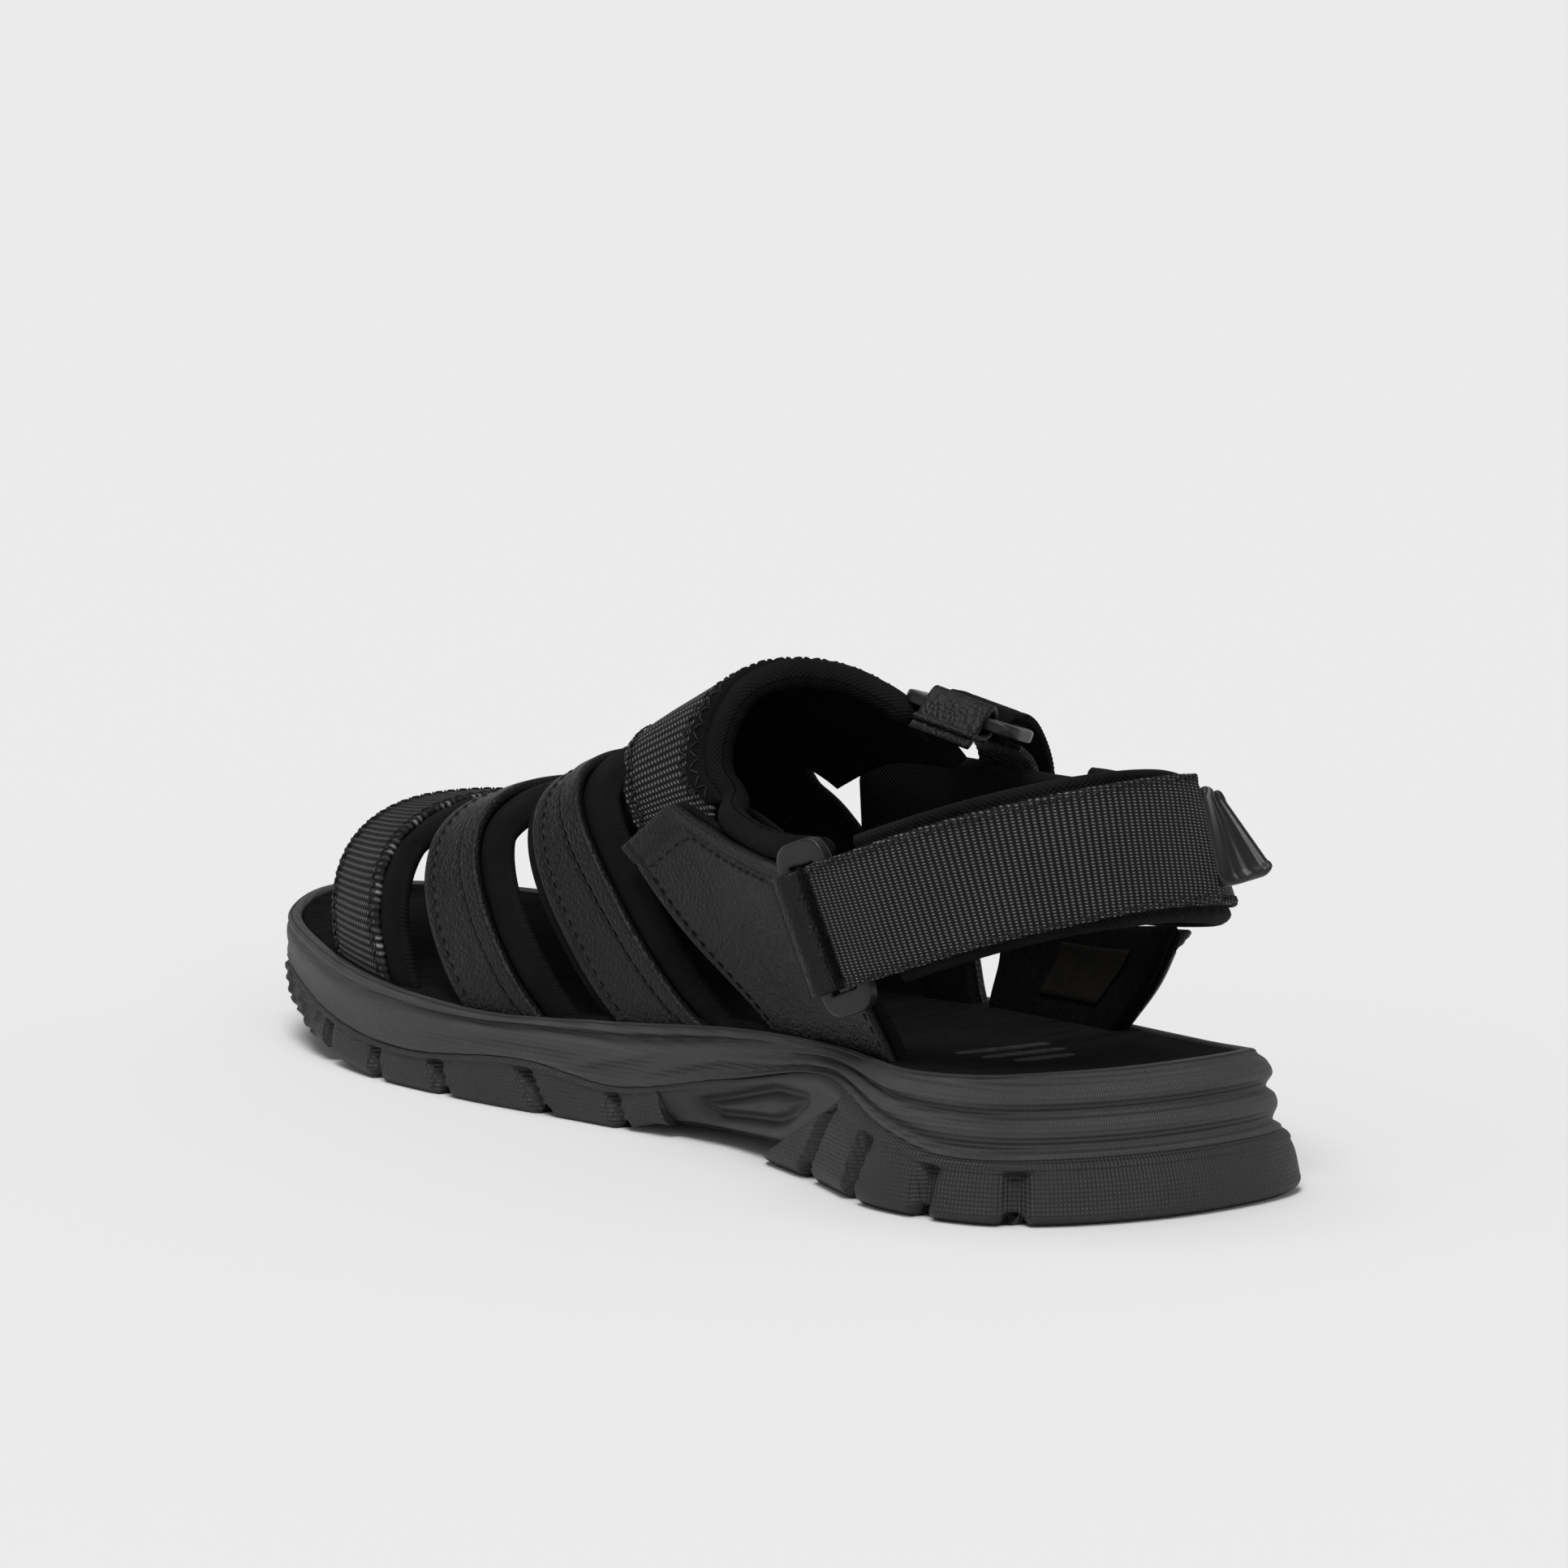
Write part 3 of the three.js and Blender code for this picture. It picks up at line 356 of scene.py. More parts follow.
def nodes_of(name):
    m = bpy.data.materials.new(name)
    m.use_nodes = True
    tree = m.node_tree
    tree.nodes.clear()
    out = tree.nodes.new("ShaderNodeOutputMaterial")
    bsdf = tree.nodes.new("ShaderNodeBsdfPrincipled")
    tree.links.new(bsdf.outputs[0], out.inputs[0])
    return m, tree, bsdf


class Shader:
    """Short ways to build a node material."""

    def __init__(self, name, roughness, specular=0.5, sheen=0.0, sheen_roughness=0.5):
        self.m, self.t, self.b = nodes_of(name)
        self.b.inputs["Roughness"].default_value = roughness
        self.b.inputs["Specular IOR Level"].default_value = specular
        self.b.inputs["Sheen Weight"].default_value = sheen
        self.b.inputs["Sheen Roughness"].default_value = sheen_roughness
        self.coord = self.t.nodes.new("ShaderNodeTexCoord")
        self.split = self.t.nodes.new("ShaderNodeSeparateXYZ")
        self.t.links.new(self.coord.outputs["UV"], self.split.inputs[0])

    def math(self, op, a, b=0.0, c=0.0):
        n = self.t.nodes.new("ShaderNodeMath")
        n.operation = op
        for k, v in enumerate((a, b, c)):
            if isinstance(v, (int, float)):
                n.inputs[k].default_value = v
            else:
                self.t.links.new(v, n.inputs[k])
        return n.outputs[0]

    def wave(self, axis_u, axis_v, pitch):
        """sin over the surface's own coordinates, with the pitch in metres."""
        k = 2 * math.pi / pitch
        a = self.math("MULTIPLY", self.split.outputs[0], axis_u * k)
        b = self.math("MULTIPLY_ADD", self.split.outputs[1], axis_v * k, a)
        return self.math("SINE", b)

    def noise(self, scale, detail=3.0, rough=0.55, distortion=0.0, stretch=(1, 1, 1)):
        source = self.coord.outputs["Object"]
        if stretch != (1, 1, 1):
            mapping = self.t.nodes.new("ShaderNodeMapping")
            mapping.inputs["Scale"].default_value = stretch
            self.t.links.new(source, mapping.inputs[0])
            source = mapping.outputs[0]
        n = self.t.nodes.new("ShaderNodeTexNoise")
        n.inputs["Scale"].default_value = scale
        n.inputs["Detail"].default_value = detail
        n.inputs["Roughness"].default_value = rough
        n.inputs["Distortion"].default_value = distortion
        self.t.links.new(source, n.inputs["Vector"])
        return n.outputs["Fac"]

    def cells(self, scale):
        n = self.t.nodes.new("ShaderNodeTexVoronoi")
        n.feature = "DISTANCE_TO_EDGE"
        n.inputs["Scale"].default_value = scale
        self.t.links.new(self.coord.outputs["Object"], n.inputs["Vector"])
        return n.outputs["Distance"]

    def ramp(self, fac, stops):
        n = self.t.nodes.new("ShaderNodeValToRGB")
        while len(n.color_ramp.elements) < len(stops):
            n.color_ramp.elements.new(0.5)
        for e, (at, colour) in zip(n.color_ramp.elements, stops):
            e.position = at
            e.color = (*colour, 1)
        self.t.links.new(fac, n.inputs[0])
        return n.outputs[0]

    def greys(self, fac, dark, light, at=(0.3, 0.7)):
        return self.ramp(fac, [(at[0], grey(dark)), (at[1], grey(light))])

    def mix(self, fac, a, b, blend="MIX"):
        n = self.t.nodes.new("ShaderNodeMix")
        n.data_type = "RGBA"
        n.blend_type = blend
        for socket, v in ((n.inputs[0], fac), (n.inputs[6], a), (n.inputs[7], b)):
            if isinstance(v, (int, float)):
                socket.default_value = v
            elif isinstance(v, tuple):
                socket.default_value = (*v, 1)
            else:
                self.t.links.new(v, socket)
        return n.outputs[2]

    def worn_edges(self, colour, worn, strength=0.35, low=0.53, high=0.62):
        g = self.t.nodes.new("ShaderNodeNewGeometry")
        edge = self.ramp(g.outputs["Pointiness"], [(low, (0, 0, 0)), (high, (1, 1, 1))])
        broken = self.math("MULTIPLY", edge, self.noise(260, 2))
        return self.mix(self.math("MULTIPLY", broken, strength), colour, worn)

    def colour(self, socket):
        self.t.links.new(socket, self.b.inputs["Base Color"])

    def roughness(self, socket, low, high):
        n = self.t.nodes.new("ShaderNodeMapRange")
        n.inputs[3].default_value = low
        n.inputs[4].default_value = high
        self.t.links.new(socket, n.inputs[0])
        self.t.links.new(n.outputs[0], self.b.inputs["Roughness"])

    def bump(self, layers):
        """layers of (height socket, depth in metres); each builds on the last."""
        last = None
        for height, depth in layers:
            n = self.t.nodes.new("ShaderNodeBump")
            n.inputs["Distance"].default_value = depth
            n.inputs["Strength"].default_value = 1.0
            self.t.links.new(height, n.inputs["Height"])
            if last is not None:
                self.t.links.new(last, n.inputs["Normal"])
            last = n.outputs[0]
        self.t.links.new(last, self.b.inputs["Normal"])


def grey(v):
    return (v, v, v)


def rubber_material():
    s = Shader("tread_rubber", 0.55, specular=0.4)
    twill = s.math("MULTIPLY", s.wave(1, 1, 0.0017), s.wave(1, -1, 0.0017))
    s.colour(s.worn_edges(s.greys(s.noise(35, 3), 0.014, 0.023), grey(0.045)))
    s.roughness(s.noise(120, 3), 0.48, 0.66)
    s.bump([(twill, 0.00016), (s.noise(900, 2), 0.0001)])
    return s.m


def smooth_rubber_material():
    s = Shader("bridge_rubber", 0.5, specular=0.32)
    s.colour(s.worn_edges(s.greys(s.noise(40, 3), 0.016, 0.026), grey(0.05)))
    s.roughness(s.noise(160, 3), 0.44, 0.6)
    s.bump([(s.noise(700, 3), 0.00006)])
    return s.m


def foam_material():
    s = Shader("midsole_foam", 0.55, specular=0.42)
    cross = s.math("MULTIPLY", s.wave(1, 0.55, 0.00115), s.wave(1, -0.55, 0.00115))
    s.colour(s.greys(s.noise(30, 4), 0.027, 0.04))
    s.roughness(s.noise(200, 3), 0.42, 0.56)
    s.bump([(cross, 0.00012), (s.noise(1500, 2), 0.00005)])
    return s.m


def suede_material():
    s = Shader("footbed_suede", 0.9, specular=0.03)
    waves = s.noise(150, 4, 0.6, 2.2, stretch=(1.0, 0.35, 1.0))
    nap = s.noise(1900, 3, 0.7)
    s.colour(s.greys(waves, 0.0045, 0.0105, at=(0.3, 0.72)))
    s.roughness(nap, 0.82, 1.0)
    s.bump([(waves, 0.00035), (nap, 0.00012)])
    return s.m


def neoprene_material(name="neoprene_knit", pitch=0.0009, tone=1.0):
    s = Shader(name, 0.85, specular=0.06)
    knit = s.math("MULTIPLY", s.wave(1, 0, pitch), s.wave(0, 1, pitch * 0.8))
    soft = s.noise(60, 3)
    s.colour(s.greys(soft, 0.0042 * tone, 0.0078 * tone))
    s.roughness(s.noise(300, 2), 0.7, 0.92)
    s.bump([(soft, 0.0004), (knit, 0.00013)])
    return s.m


def leather_material():
    s = Shader("strap_leather", 0.45, specular=0.2)
    crease = s.noise(130, 5, 0.62, 1.2)
    s.colour(s.worn_edges(s.greys(s.noise(45, 4), 0.004, 0.0074), grey(0.02), 0.5))
    s.roughness(s.noise(140, 4), 0.36, 0.54)
    s.bump([(crease, 0.00045), (s.math("MINIMUM", s.cells(760), 0.35), 0.00035)])
    return s.m


def webbing_material(name="strap_webbing", rib=0.0013, bead=0.00062):
    """Ribs across the strap, each a column of small dashes."""
    s = Shader(name, 0.7, specular=0.12)
    ribs = s.math("ABSOLUTE", s.wave(0.5, 0, rib))
    beads = s.math("MULTIPLY_ADD", s.wave(0.12, 1, bead), 0.5, 0.5)
    height = s.math("MULTIPLY", ribs, s.math("MULTIPLY_ADD", beads, 0.75, 0.25))
    shade = s.ramp(height, [
        (0.1, grey(0.004)), (0.45, grey(0.022)), (0.75, grey(0.065)), (0.95, grey(0.22)),
    ])
    fade = s.greys(s.noise(50, 3), 0.8, 1.0, at=(0.25, 0.75))
    s.colour(s.mix(1.0, shade, fade, "MULTIPLY"))
    s.roughness(s.noise(400, 2), 0.52, 0.72)
    s.bump([(height, 0.0004), (s.noise(2500, 2), 0.00004)])
    return s.m


def plastic_material():
    s = Shader("moulded_plastic", 0.38, specular=0.32)
    s.colour(s.worn_edges(s.greys(s.noise(70, 3), 0.010, 0.015), grey(0.04), 0.6))
    s.roughness(s.noise(500, 3), 0.28, 0.42)
    s.bump([(s.noise(1200, 2), 0.00003)])
    return s.m


def hook_material():
    s = Shader("hook_and_loop", 0.95, specular=0.04, sheen=0.015, sheen_roughness=0.4)
    fuzz = s.noise(1700, 4, 0.75, 1.5)
    s.colour(s.greys(fuzz, 0.003, 0.016, at=(0.35, 0.75)))
    s.roughness(fuzz, 0.85, 1.0)
    s.bump([(fuzz, 0.0006)])
    return s.m


def fleece_material():
    s = Shader("fleece_lining", 0.95, specular=0.03)
    tufts = s.noise(420, 5, 0.7, 2.0)
    s.colour(s.greys(tufts, 0.0025, 0.009, at=(0.3, 0.75)))
    s.roughness(tufts, 0.88, 1.0)
    s.bump([(tufts, 0.0012)])
    return s.m


def thread_material():
    s = Shader("sewing_thread", 0.65, specular=0.15)
    s.colour(s.greys(s.noise(900, 2), 0.009, 0.022))
    s.bump([(s.noise(2600, 2), 0.00005)])
    return s.m


def label_material():
    s = Shader("woven_label", 0.8, specular=0.1)
    weave = s.math("MULTIPLY", s.wave(1, 0, 0.0007), s.wave(0, 1, 0.0007))
    s.colour(s.ramp(s.noise(200, 3), [(0.3, (0.004, 0.0036, 0.003)), (0.7, (0.009, 0.0075, 0.005))]))
    s.bump([(weave, 0.0001)])
    return s.m


def print_material():
    s = Shader("footbed_print", 0.85, specular=0.1)
    s.colour(s.greys(s.noise(600, 3), 0.018, 0.04))
    s.bump([(s.noise(1500, 2), 0.00006)])
    return s.m


RUBBER = rubber_material()
BRIDGE = smooth_rubber_material()
FOAM = foam_material()
SUEDE = suede_material()
NEOPRENE = neoprene_material()
PADDING = neoprene_material("padding_knit", 0.0012, 1.25)
LEATHER = leather_material()
WEBBING = webbing_material()
STRAP_RIB = webbing_material("ribbed_webbing", 0.0016, 0.0009)
PLASTIC = plastic_material()
HOOKS = hook_material()
FLEECE = fleece_material()
THREAD = thread_material()
LABEL = label_material()
PRINT = print_material()


def finish_piece(obj, body, slot, *nodes):
    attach(obj, body)
    if nodes:
        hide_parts(*nodes)
    return obj


# ---------------------------------------------------------------- sole pieces


def line_distance(px, pz, line):
    """Distance in the side view from points to a polyline."""
    best = np.full(np.shape(px), 1e9)
    for (ax, az), (bx, bz) in zip(line[:-1], line[1:]):
        dx, dz = bx - ax, bz - az
        t = np.clip(((px - ax) * dx + (pz - az) * dz) / (dx * dx + dz * dz), 0, 1)
        best = np.minimum(best, np.hypot(px - ax - t * dx, pz - az - t * dz))
    return best


def inwards(edge, steps):
    """Rings that step from an edge, itself left out, to its own middle line."""
    return [edge * (1 - t) + middle_of(edge) * t for t in np.linspace(0, 1, steps + 1)[1:]]


def wall_uv(heights):
    """Texture places of a wall's rings: the way round the sole, and a height."""
    v = np.array([np.broadcast_to(h, (COLUMNS,)) for h in heights])
    return np.stack([np.broadcast_to(ARC, v.shape), v], -1) * MM


def flat_uv(rings):
    return np.array(rings)[..., :2] * MM


def rework(obj, change):
    """Changes an object's mesh and turns its faces outwards."""
    bm = bmesh.new()
    bm.from_mesh(obj.data)
    change(bm)
    bmesh.ops.recalc_face_normals(bm, faces=bm.faces)
    bm.to_mesh(obj.data)
    bm.free()
    obj.data.update()


def weld(bm):
    bmesh.ops.remove_doubles(bm, verts=bm.verts, dist=WELD_DISTANCE)
    bmesh.ops.dissolve_degenerate(bm, dist=1e-6, edges=bm.edges)


def cut_at(point, normal):
    """Cuts away what lies on the normal's side of a plane, and fills the cut."""

    def change(bm):
        bmesh.ops.bisect_plane(
            bm, geom=[*bm.verts, *bm.edges, *bm.faces], dist=1e-7,
            plane_co=Vector(point) * MM, plane_no=Vector(normal), clear_outer=True,
        )
        bmesh.ops.holes_fill(bm, edges=[e for e in bm.edges if e.is_boundary], sides=0)

    return change


WELD_DISTANCE = 0.00002


def ring_mesh(name, rows, uv, material):
    """A closed skin whose first and last rings lie flat on their own middle line."""
    faces = []
    c = np.arange(COLUMNS)
    d = (c + 1) % COLUMNS
    for a in range(0, (len(rows) - 1) * COLUMNS, COLUMNS):
        b = a + COLUMNS
        faces.extend(zip((a + c).tolist(), (a + d).tolist(), (b + d).tolist(), (b + c).tolist()))
    obj = make(name, rows.reshape(-1, 3), faces, material, uv.reshape(-1, 2))
    # where the outline closes, the texture runs on instead of turning back
    layer = obj.data.uv_layers[0].data
    flat = np.zeros(2 * len(layer), np.float32)
    layer.foreach_get("uv", flat)
    quads = flat.reshape(-1, 4, 2)
    whole = PERIMETER * MM
    torn = np.ptp(quads[..., 0], axis=1) > whole / 2
    behind = torn[:, None] & (quads[..., 0] < whole / 2)
    quads[..., 0] += behind * whole
    layer.foreach_set("uv", quads.ravel())
    rework(obj, weld)
    return obj


# Ribs and panels in the side view, as (x, z) lines.
LEAF_RIBS = [
    [(-15, 12.4), (-36, 17.9), (-62, 20.8)],
    [(7, 11), (-4, 13.8), (-14, 16)],
]
LOZENGE = [
    (-31, 8.6), (-57, 14.8), (-73, 15.8), (-65, 11.0), (-58, 9.0), (-36, 6.8), (-31, 8.6),
]

# Insets of the midsole's wall, from its foot (0) to the rim (1).
heel_profile = stations([
    (0, 3.7), (0.05, 4.0), (0.1, 5.4), (0.16, 5.4), (0.3, 4.6), (0.44, 5.2), (0.52, 6.8),
    (0.57, 6.7), (0.7, 5.6), (0.86, 6.9), (0.93, 8.4), (1, 9.2),
])
fore_profile = stations([
    (0, 1.4), (0.08, 2.2), (0.2, 2.1), (0.42, 1.2), (0.62, 1.3), (0.72, 2.2), (0.78, 2.3),
    (0.86, 1.7), (0.94, 1.9), (1, 2.6),
])
# The rim's rounded lip, as (inset, rise) steps from the top of the wall.
RIM_STEPS = ((0.45, -0.12), (1.0, 0.0), (1.7, -0.05), (2.2, -0.35), (2.4, -1.0), (2.4, -4.0))


def midsole():
    heel_share = 1 - smooth(X0, -95, -10)
    bottom, top, lip = parting(X0) + 0.3, rim_top(X0), rim_inset(X0)
    rows = [ring(6.0, bottom - 4), ring(5.2, bottom)]
    heights = [bottom - 4, bottom]
    for s in np.linspace(0, 1, 44):
        z = bottom + (top - bottom) * s
        fore = fore_profile(s) * lip / 2.6 * smooth(s, -0.4, 1.0) + 0.9 * (1 - s)
        inset = heel_profile(s) * heel_share + fore * (1 - heel_share)
        inset = inset + (lip - inset) * smooth(s, 0.9, 1.0)
        for rib in LEAF_RIBS:
            inset = inset + dent(line_distance(X0, z, rib), 0, 0.6, 1.1)
        rows.append(ring(inset, z - 0.5 * smooth(s, 0.97, 1.0)))
        heights.append(z)
    for inset, rise in RIM_STEPS:
        rows.append(ring(lip + inset, top + rise))
        heights.append(top + 2 + inset)
    under, over = inwards(rows[0], 10)[::-1], inwards(rows[-1], 10)
    uv = np.concatenate([flat_uv(under), wall_uv(heights), flat_uv(over)])
    return ring_mesh("midsole_body", np.array(under + rows + over), uv, FOAM)


# Insets of the outsole's wall, from the ground (0) to the parting ridge (1).
heel_wall = stations([(0, 2.6), (0.1, 0.6), (0.2, 0), (0.3, 0.2), (0.71, 1.3), (1, 3.1)])
fore_wall = stations([(0, 1.2), (0.14, 0.3), (0.3, 0), (0.7, 0.5), (1, 1.2)])
arch_floor = stations([(-90, 4.0), (-60, 4.4), (-45, 3.8), (-22, 3.0), (-8, 1.0)])
# Grooves between the lugs: where each meets the parting ridge, where it meets the ground,
# and its width.
GROOVES = [
    (-87.6, -74.0, 4.2), (-103.5, -97, 4.2), (-122, -120, 4.2), (-139, -138.5, 3.6),
    (23, 15, 4.0), (50.5, 46, 4.0), (72, 70, 3.6), (93.5, 93, 3.4), (-4, -8, 3.0),
]
TREAD_GROOVE = 3.6
WALL_GROOVE = 2.6
WAIST_RISE = 2.6
STUD_PITCH, STUD_ROW = 6.2, 3.4
WALL_SHARES = np.concatenate([[0.0, 0.03, 0.07], np.linspace(0.1, 0.84, 30), [0.86, 0.9, 0.94, 0.97, 1.0]])


def tread_floor(x):
    return ground(x) + WAIST_RISE * smooth(-x, 6, 20) * smooth(x, -60, -40)


def groove_mask(x, high, y):
    """1 in a groove, 0 on a lug; high is 0 at the ground and 1 at the ridge."""
    total = np.zeros(np.shape(x))
    for top, bottom, width in GROOVES:
        centre = bottom + (top - bottom) * high - 0.1 * (y - 35)
        half = width / 2
        total = np.maximum(total, 1 - smooth(np.abs(x - centre), half - 0.9, half + 0.7))
    return total


def toe_studs(z):
    around = np.cos(2 * math.pi * ARC / STUD_PITCH)
    upwards = np.cos(math.pi * (z + ARC * 0.35) / STUD_ROW)
    return smooth(around * upwards, 0.2, 0.7) * smooth(X0, 96, 101)


def tread(name, material, cuts, arch=False):
    """The outsole's cup, cut off at slanted planes; the arch's part has no lugs."""
    bottom = arch_floor(X0) if arch else tread_floor(X0)
    top = parting(X0)
    heel_share = 1 - smooth(X0, -60, -20)

    def wall(s):
        return heel_wall(s) * heel_share + fore_wall(s) * (1 - heel_share)

    rows, heights = [], []
    edge = ring(wall(0) + toe_inset(X0), bottom)
    mid = middle_of(edge)
    for t in np.linspace(0, 1, 26)[:-1]:
        p = mid * (1 - t) + edge * t
        x, y = p[:, 0], p[:, 1].copy()
        if not arch:
            crosscut = smooth(np.abs(np.abs(y) - 15 - 0.06 * x), 1.6, 0.6) * (t < 0.95)
            cut = np.maximum(groove_mask(x, 0.0, y), 0.7 * crosscut)
            p[:, 2] = tread_floor(x) + TREAD_GROOVE * cut
        rows.append(p)
        heights.append(y)
    for s in WALL_SHARES:
        z = bottom + (top - bottom) * s
        inset = wall(s) + toe_inset(X0) * (1 - 0.4 * s)
        inset = inset - 0.45 * smooth(s, 0.84, 0.9) * (1 - smooth(s, 0.95, 1.0))
        if arch:
            inset = inset - dent(line_distance(X0, z, LOZENGE), 0, 2.0, 1.25) + 2.2 * (1 - s)
        else:
            below_lip = 1 - smooth(s, 0.8, 0.9)
            inset = inset + WALL_GROOVE * groove_mask(X0, s, OUT[:, 1]) * below_lip
            inset = inset - 0.7 * toe_studs(z) * below_lip
            z = z + 1.92 * groove_mask(X0, 0.0, OUT[:, 1]) * (1 - smooth(s, 0, 0.3))
        rows.append(ring(inset, z))
        heights.append(z)
    rows += [
        ring(wall(1) + 0.7 + toe_inset(X0) * 0.6, top + 0.35),
        ring(4.8, top + 0.25),
        ring(5.2, np.minimum(top - 0.4, np.maximum(bottom + 3.0, top - 4.0))),
    ]
    heights += [top + 1, top + 4, top + 8]
    over = inwards(rows[-1], 6)
    uv = np.concatenate([wall_uv(heights), flat_uv(over)])
    obj = ring_mesh(name, np.array(rows + over), uv, material)
    for point, normal in cuts:
        rework(obj, cut_at(point, normal))
    return obj


# Planes as (point, normal); the bridge's own cuts leave a seam of half a millimetre.
HEEL_CUT = ((-54.6, 0, 0.8), (1, 0, 2.0))
ARCH_HEEL_CUT = ((-55.0, 0, 0.8), (-1, 0, -2.0))
FORE_CUT = ((-20.4, 0, 5), (-1, 0, 0.5))
ARCH_FORE_CUT = ((-20.0, 0, 5), (1, 0, -0.5))

finish_piece(midsole(), "sandal", "foam", "midsole")
finish_piece(tread("heel_tread", RUBBER, [HEEL_CUT]), "sandal", "rubber", "outsole_heel")
finish_piece(tread("forefoot_tread", RUBBER, [FORE_CUT]), "sandal", "rubber", "outsole_forefoot")
piece = tread("arch_bridge_shell", BRIDGE, [ARCH_FORE_CUT, ARCH_HEEL_CUT], arch=True)
finish_piece(piece, "sandal", "bridge", "arch_bridge")

FOOTBED_DROP = 0.4
FOOTBED_CUP = 1.5
ARCH_SWELL = 1.8


def footbed():
    edge, rim = upper_inset(X0), rim_top(X0)
    rows = [ring(edge, rim - 3.6), ring(edge, rim - 1.0), ring(edge + 0.5, rim - 0.5)]
    start = ring(edge + 1.1, rim - FOOTBED_DROP)
    mid = middle_of(start)
    for t in np.linspace(0, 1, 30):
        p = start * (1 - t) + mid * t
        swell = -dent(p[:, 0], -25, ARCH_SWELL, 40) * smooth(p[:, 1], 5, 32)
        swell = swell * (1 - smooth(t, 0.0, 0.9) * 0.3)
        p[:, 2] = rim_top(p[:, 0]) - FOOTBED_DROP - FOOTBED_CUP * smooth(t, 0.05, 0.8) + swell
        rows.append(p)
    full = np.array(inwards(rows[0], 5)[::-1] + rows)
    return ring_mesh("footbed_cover_sheet", full, flat_uv(full), SUEDE)


finish_piece(footbed(), "sandal", "suede", "footbed_cover", "footbed_foam")

# ---------------------------------------------------------------- upper: bands on the form

STRAPS = {
    "toe": {"front": (98.5, 114, 101), "rear": (74, 91, 76), "lining": (2.5, 8)},
    "second": {"front": (46, 76, 52), "rear": (23, 62, 30), "lining": (2, 8)},
    "third": {"front": (1, 44, 14), "rear": (-22, 34, -4), "lining": (3, 7.5)},
}
INSTEP_FRONT = (-42, 22, -26)
FOOT_END = 1.034
OVERLAY = (-1.6, 0)
LINING = (-4.1, -1.9)
collar_station = stations([
    (-0.55, -43), (-0.45, -37), (-0.3, -29), (-0.14, -21), (0, -16.5), (0.3, -12), (0.5, -17.5),
    (0.6, -27),
])


def band(
    name, material, front, rear, start, end, inner, outer,
    rows=120, across=25, lift=None, wobble=None, sink=None,
):
    """A sheet over the foot form between two edges, with rounded edges all round.

    lift(v, share, width, s) raises the outer face, wobble(s) moves both edges outwards and
    sink(v) lowers the whole sheet."""
    share, side, level = section(across)
    half = (outer - inner) / 2
    v = np.linspace(start, end, rows)
    a, b = front(v), rear(v)
    centre, _ = on_form((a + b) / 2, v, np.zeros_like(v))
    s = arc(centre)
    width = np.abs(a - b)
    if wobble is not None:
        a = a + wobble(s)
        b = b - wobble(s + 1.1)
    share = np.broadcast_to(share, (rows, len(share)))
    x = a[:, None] + (b - a)[:, None] * share
    h = (inner + outer) / 2 + half * np.broadcast_to(level, x.shape)
    if lift is not None:
        h = h + lift(v[:, None], share, width[:, None], s[:, None]) * outer_share(level)
    if sink is not None:
        h = h - sink(v)[:, None]
    # the rounded edges stand a little proud of the flat width
    bulge = np.abs(side) * half * np.where(share < 0.5, 1, -1)
    points, _ = on_form(x + bulge * np.sign(a - b)[:, None], np.broadcast_to(v[:, None], x.shape), h)
    uv = np.stack([np.broadcast_to(s[:, None], x.shape), share * width[:, None]], -1) * MM
    return loft(name, points, material, uv)


def folded_hem(fold, height):
    """A folded hem along the rear edge, pressed in where each edge is stitched down."""

    def lift(v, share, width, s):
        d = (1 - share) * width
        hem = height * (1 - smooth(d, fold - 0.5, fold + 0.3))
        return hem + dent(d, fold + 0.5, 0.28, 0.45) + dent(width - d, 2.3, 0.22, 0.5)

    return lift


def sewn_edges(share, width, at):
    """Both edges of a webbing pressed in where they are stitched down."""
    return dent((1 - share) * width, at, 0.25, 0.6) + dent(share * width, at, 0.25, 0.6)


def wavy(depth, pitch):
    return lambda s: depth * np.sin(s * 2 * math.pi / pitch)


def shift(edge, by):
    return lambda v: edge_at(edge, v) + by


def window_join(strap, behind_front, behind_gap):
    """The lining's rear edge, closing on the piece behind it over the ridge of the foot."""
    rear = STRAPS[strap]["rear"]
    back = STRAPS[strap]["lining"][1]

    def edge(v):
        own = edge_at(rear, v) - back
        far = edge_at(behind_front, v) + behind_gap - 0.6
        join = 1 - smooth(np.abs(v), 0.34, 0.5)
        return own + (far - own) * join

    return edge


def lining_lift(front_gap, rear_gap):
    """Puffs the lining up where no strap lies on it."""

    def lift(v, share, width, s):
        d_front = share * width
        d_rear = (1 - share) * width
        room = np.maximum(rear_gap(v), 0.5)
        hump = np.sin(np.clip(d_rear / room, 0, 1) * math.pi) ** 0.6
        puff_rear = smooth(room - d_rear, -0.5, 1.5) * hump
        puff_front = smooth(front_gap - d_front, -0.3, 0.8)
        ripple = 0.12 * np.sin(s / 5.1) * np.sin(s / 2.3 + 1)
        return 1.4 * puff_rear * (1 + ripple) + 0.6 * puff_front

    return lift


def toe_strap_lift(v, share, width, s):
    return sewn_edges(share, width, 2.4) + wavy(0.12, 1.6)(s)


BEHIND = {
    "toe": (STRAPS["second"]["front"], STRAPS["second"]["lining"][0]),
    "second": (STRAPS["third"]["front"], STRAPS["third"]["lining"][0]),
    "third": (INSTEP_FRONT, 0.0),
}
SPINES = {"toe": "spine_front", "second": "spine_middle", "third": "spine_rear"}

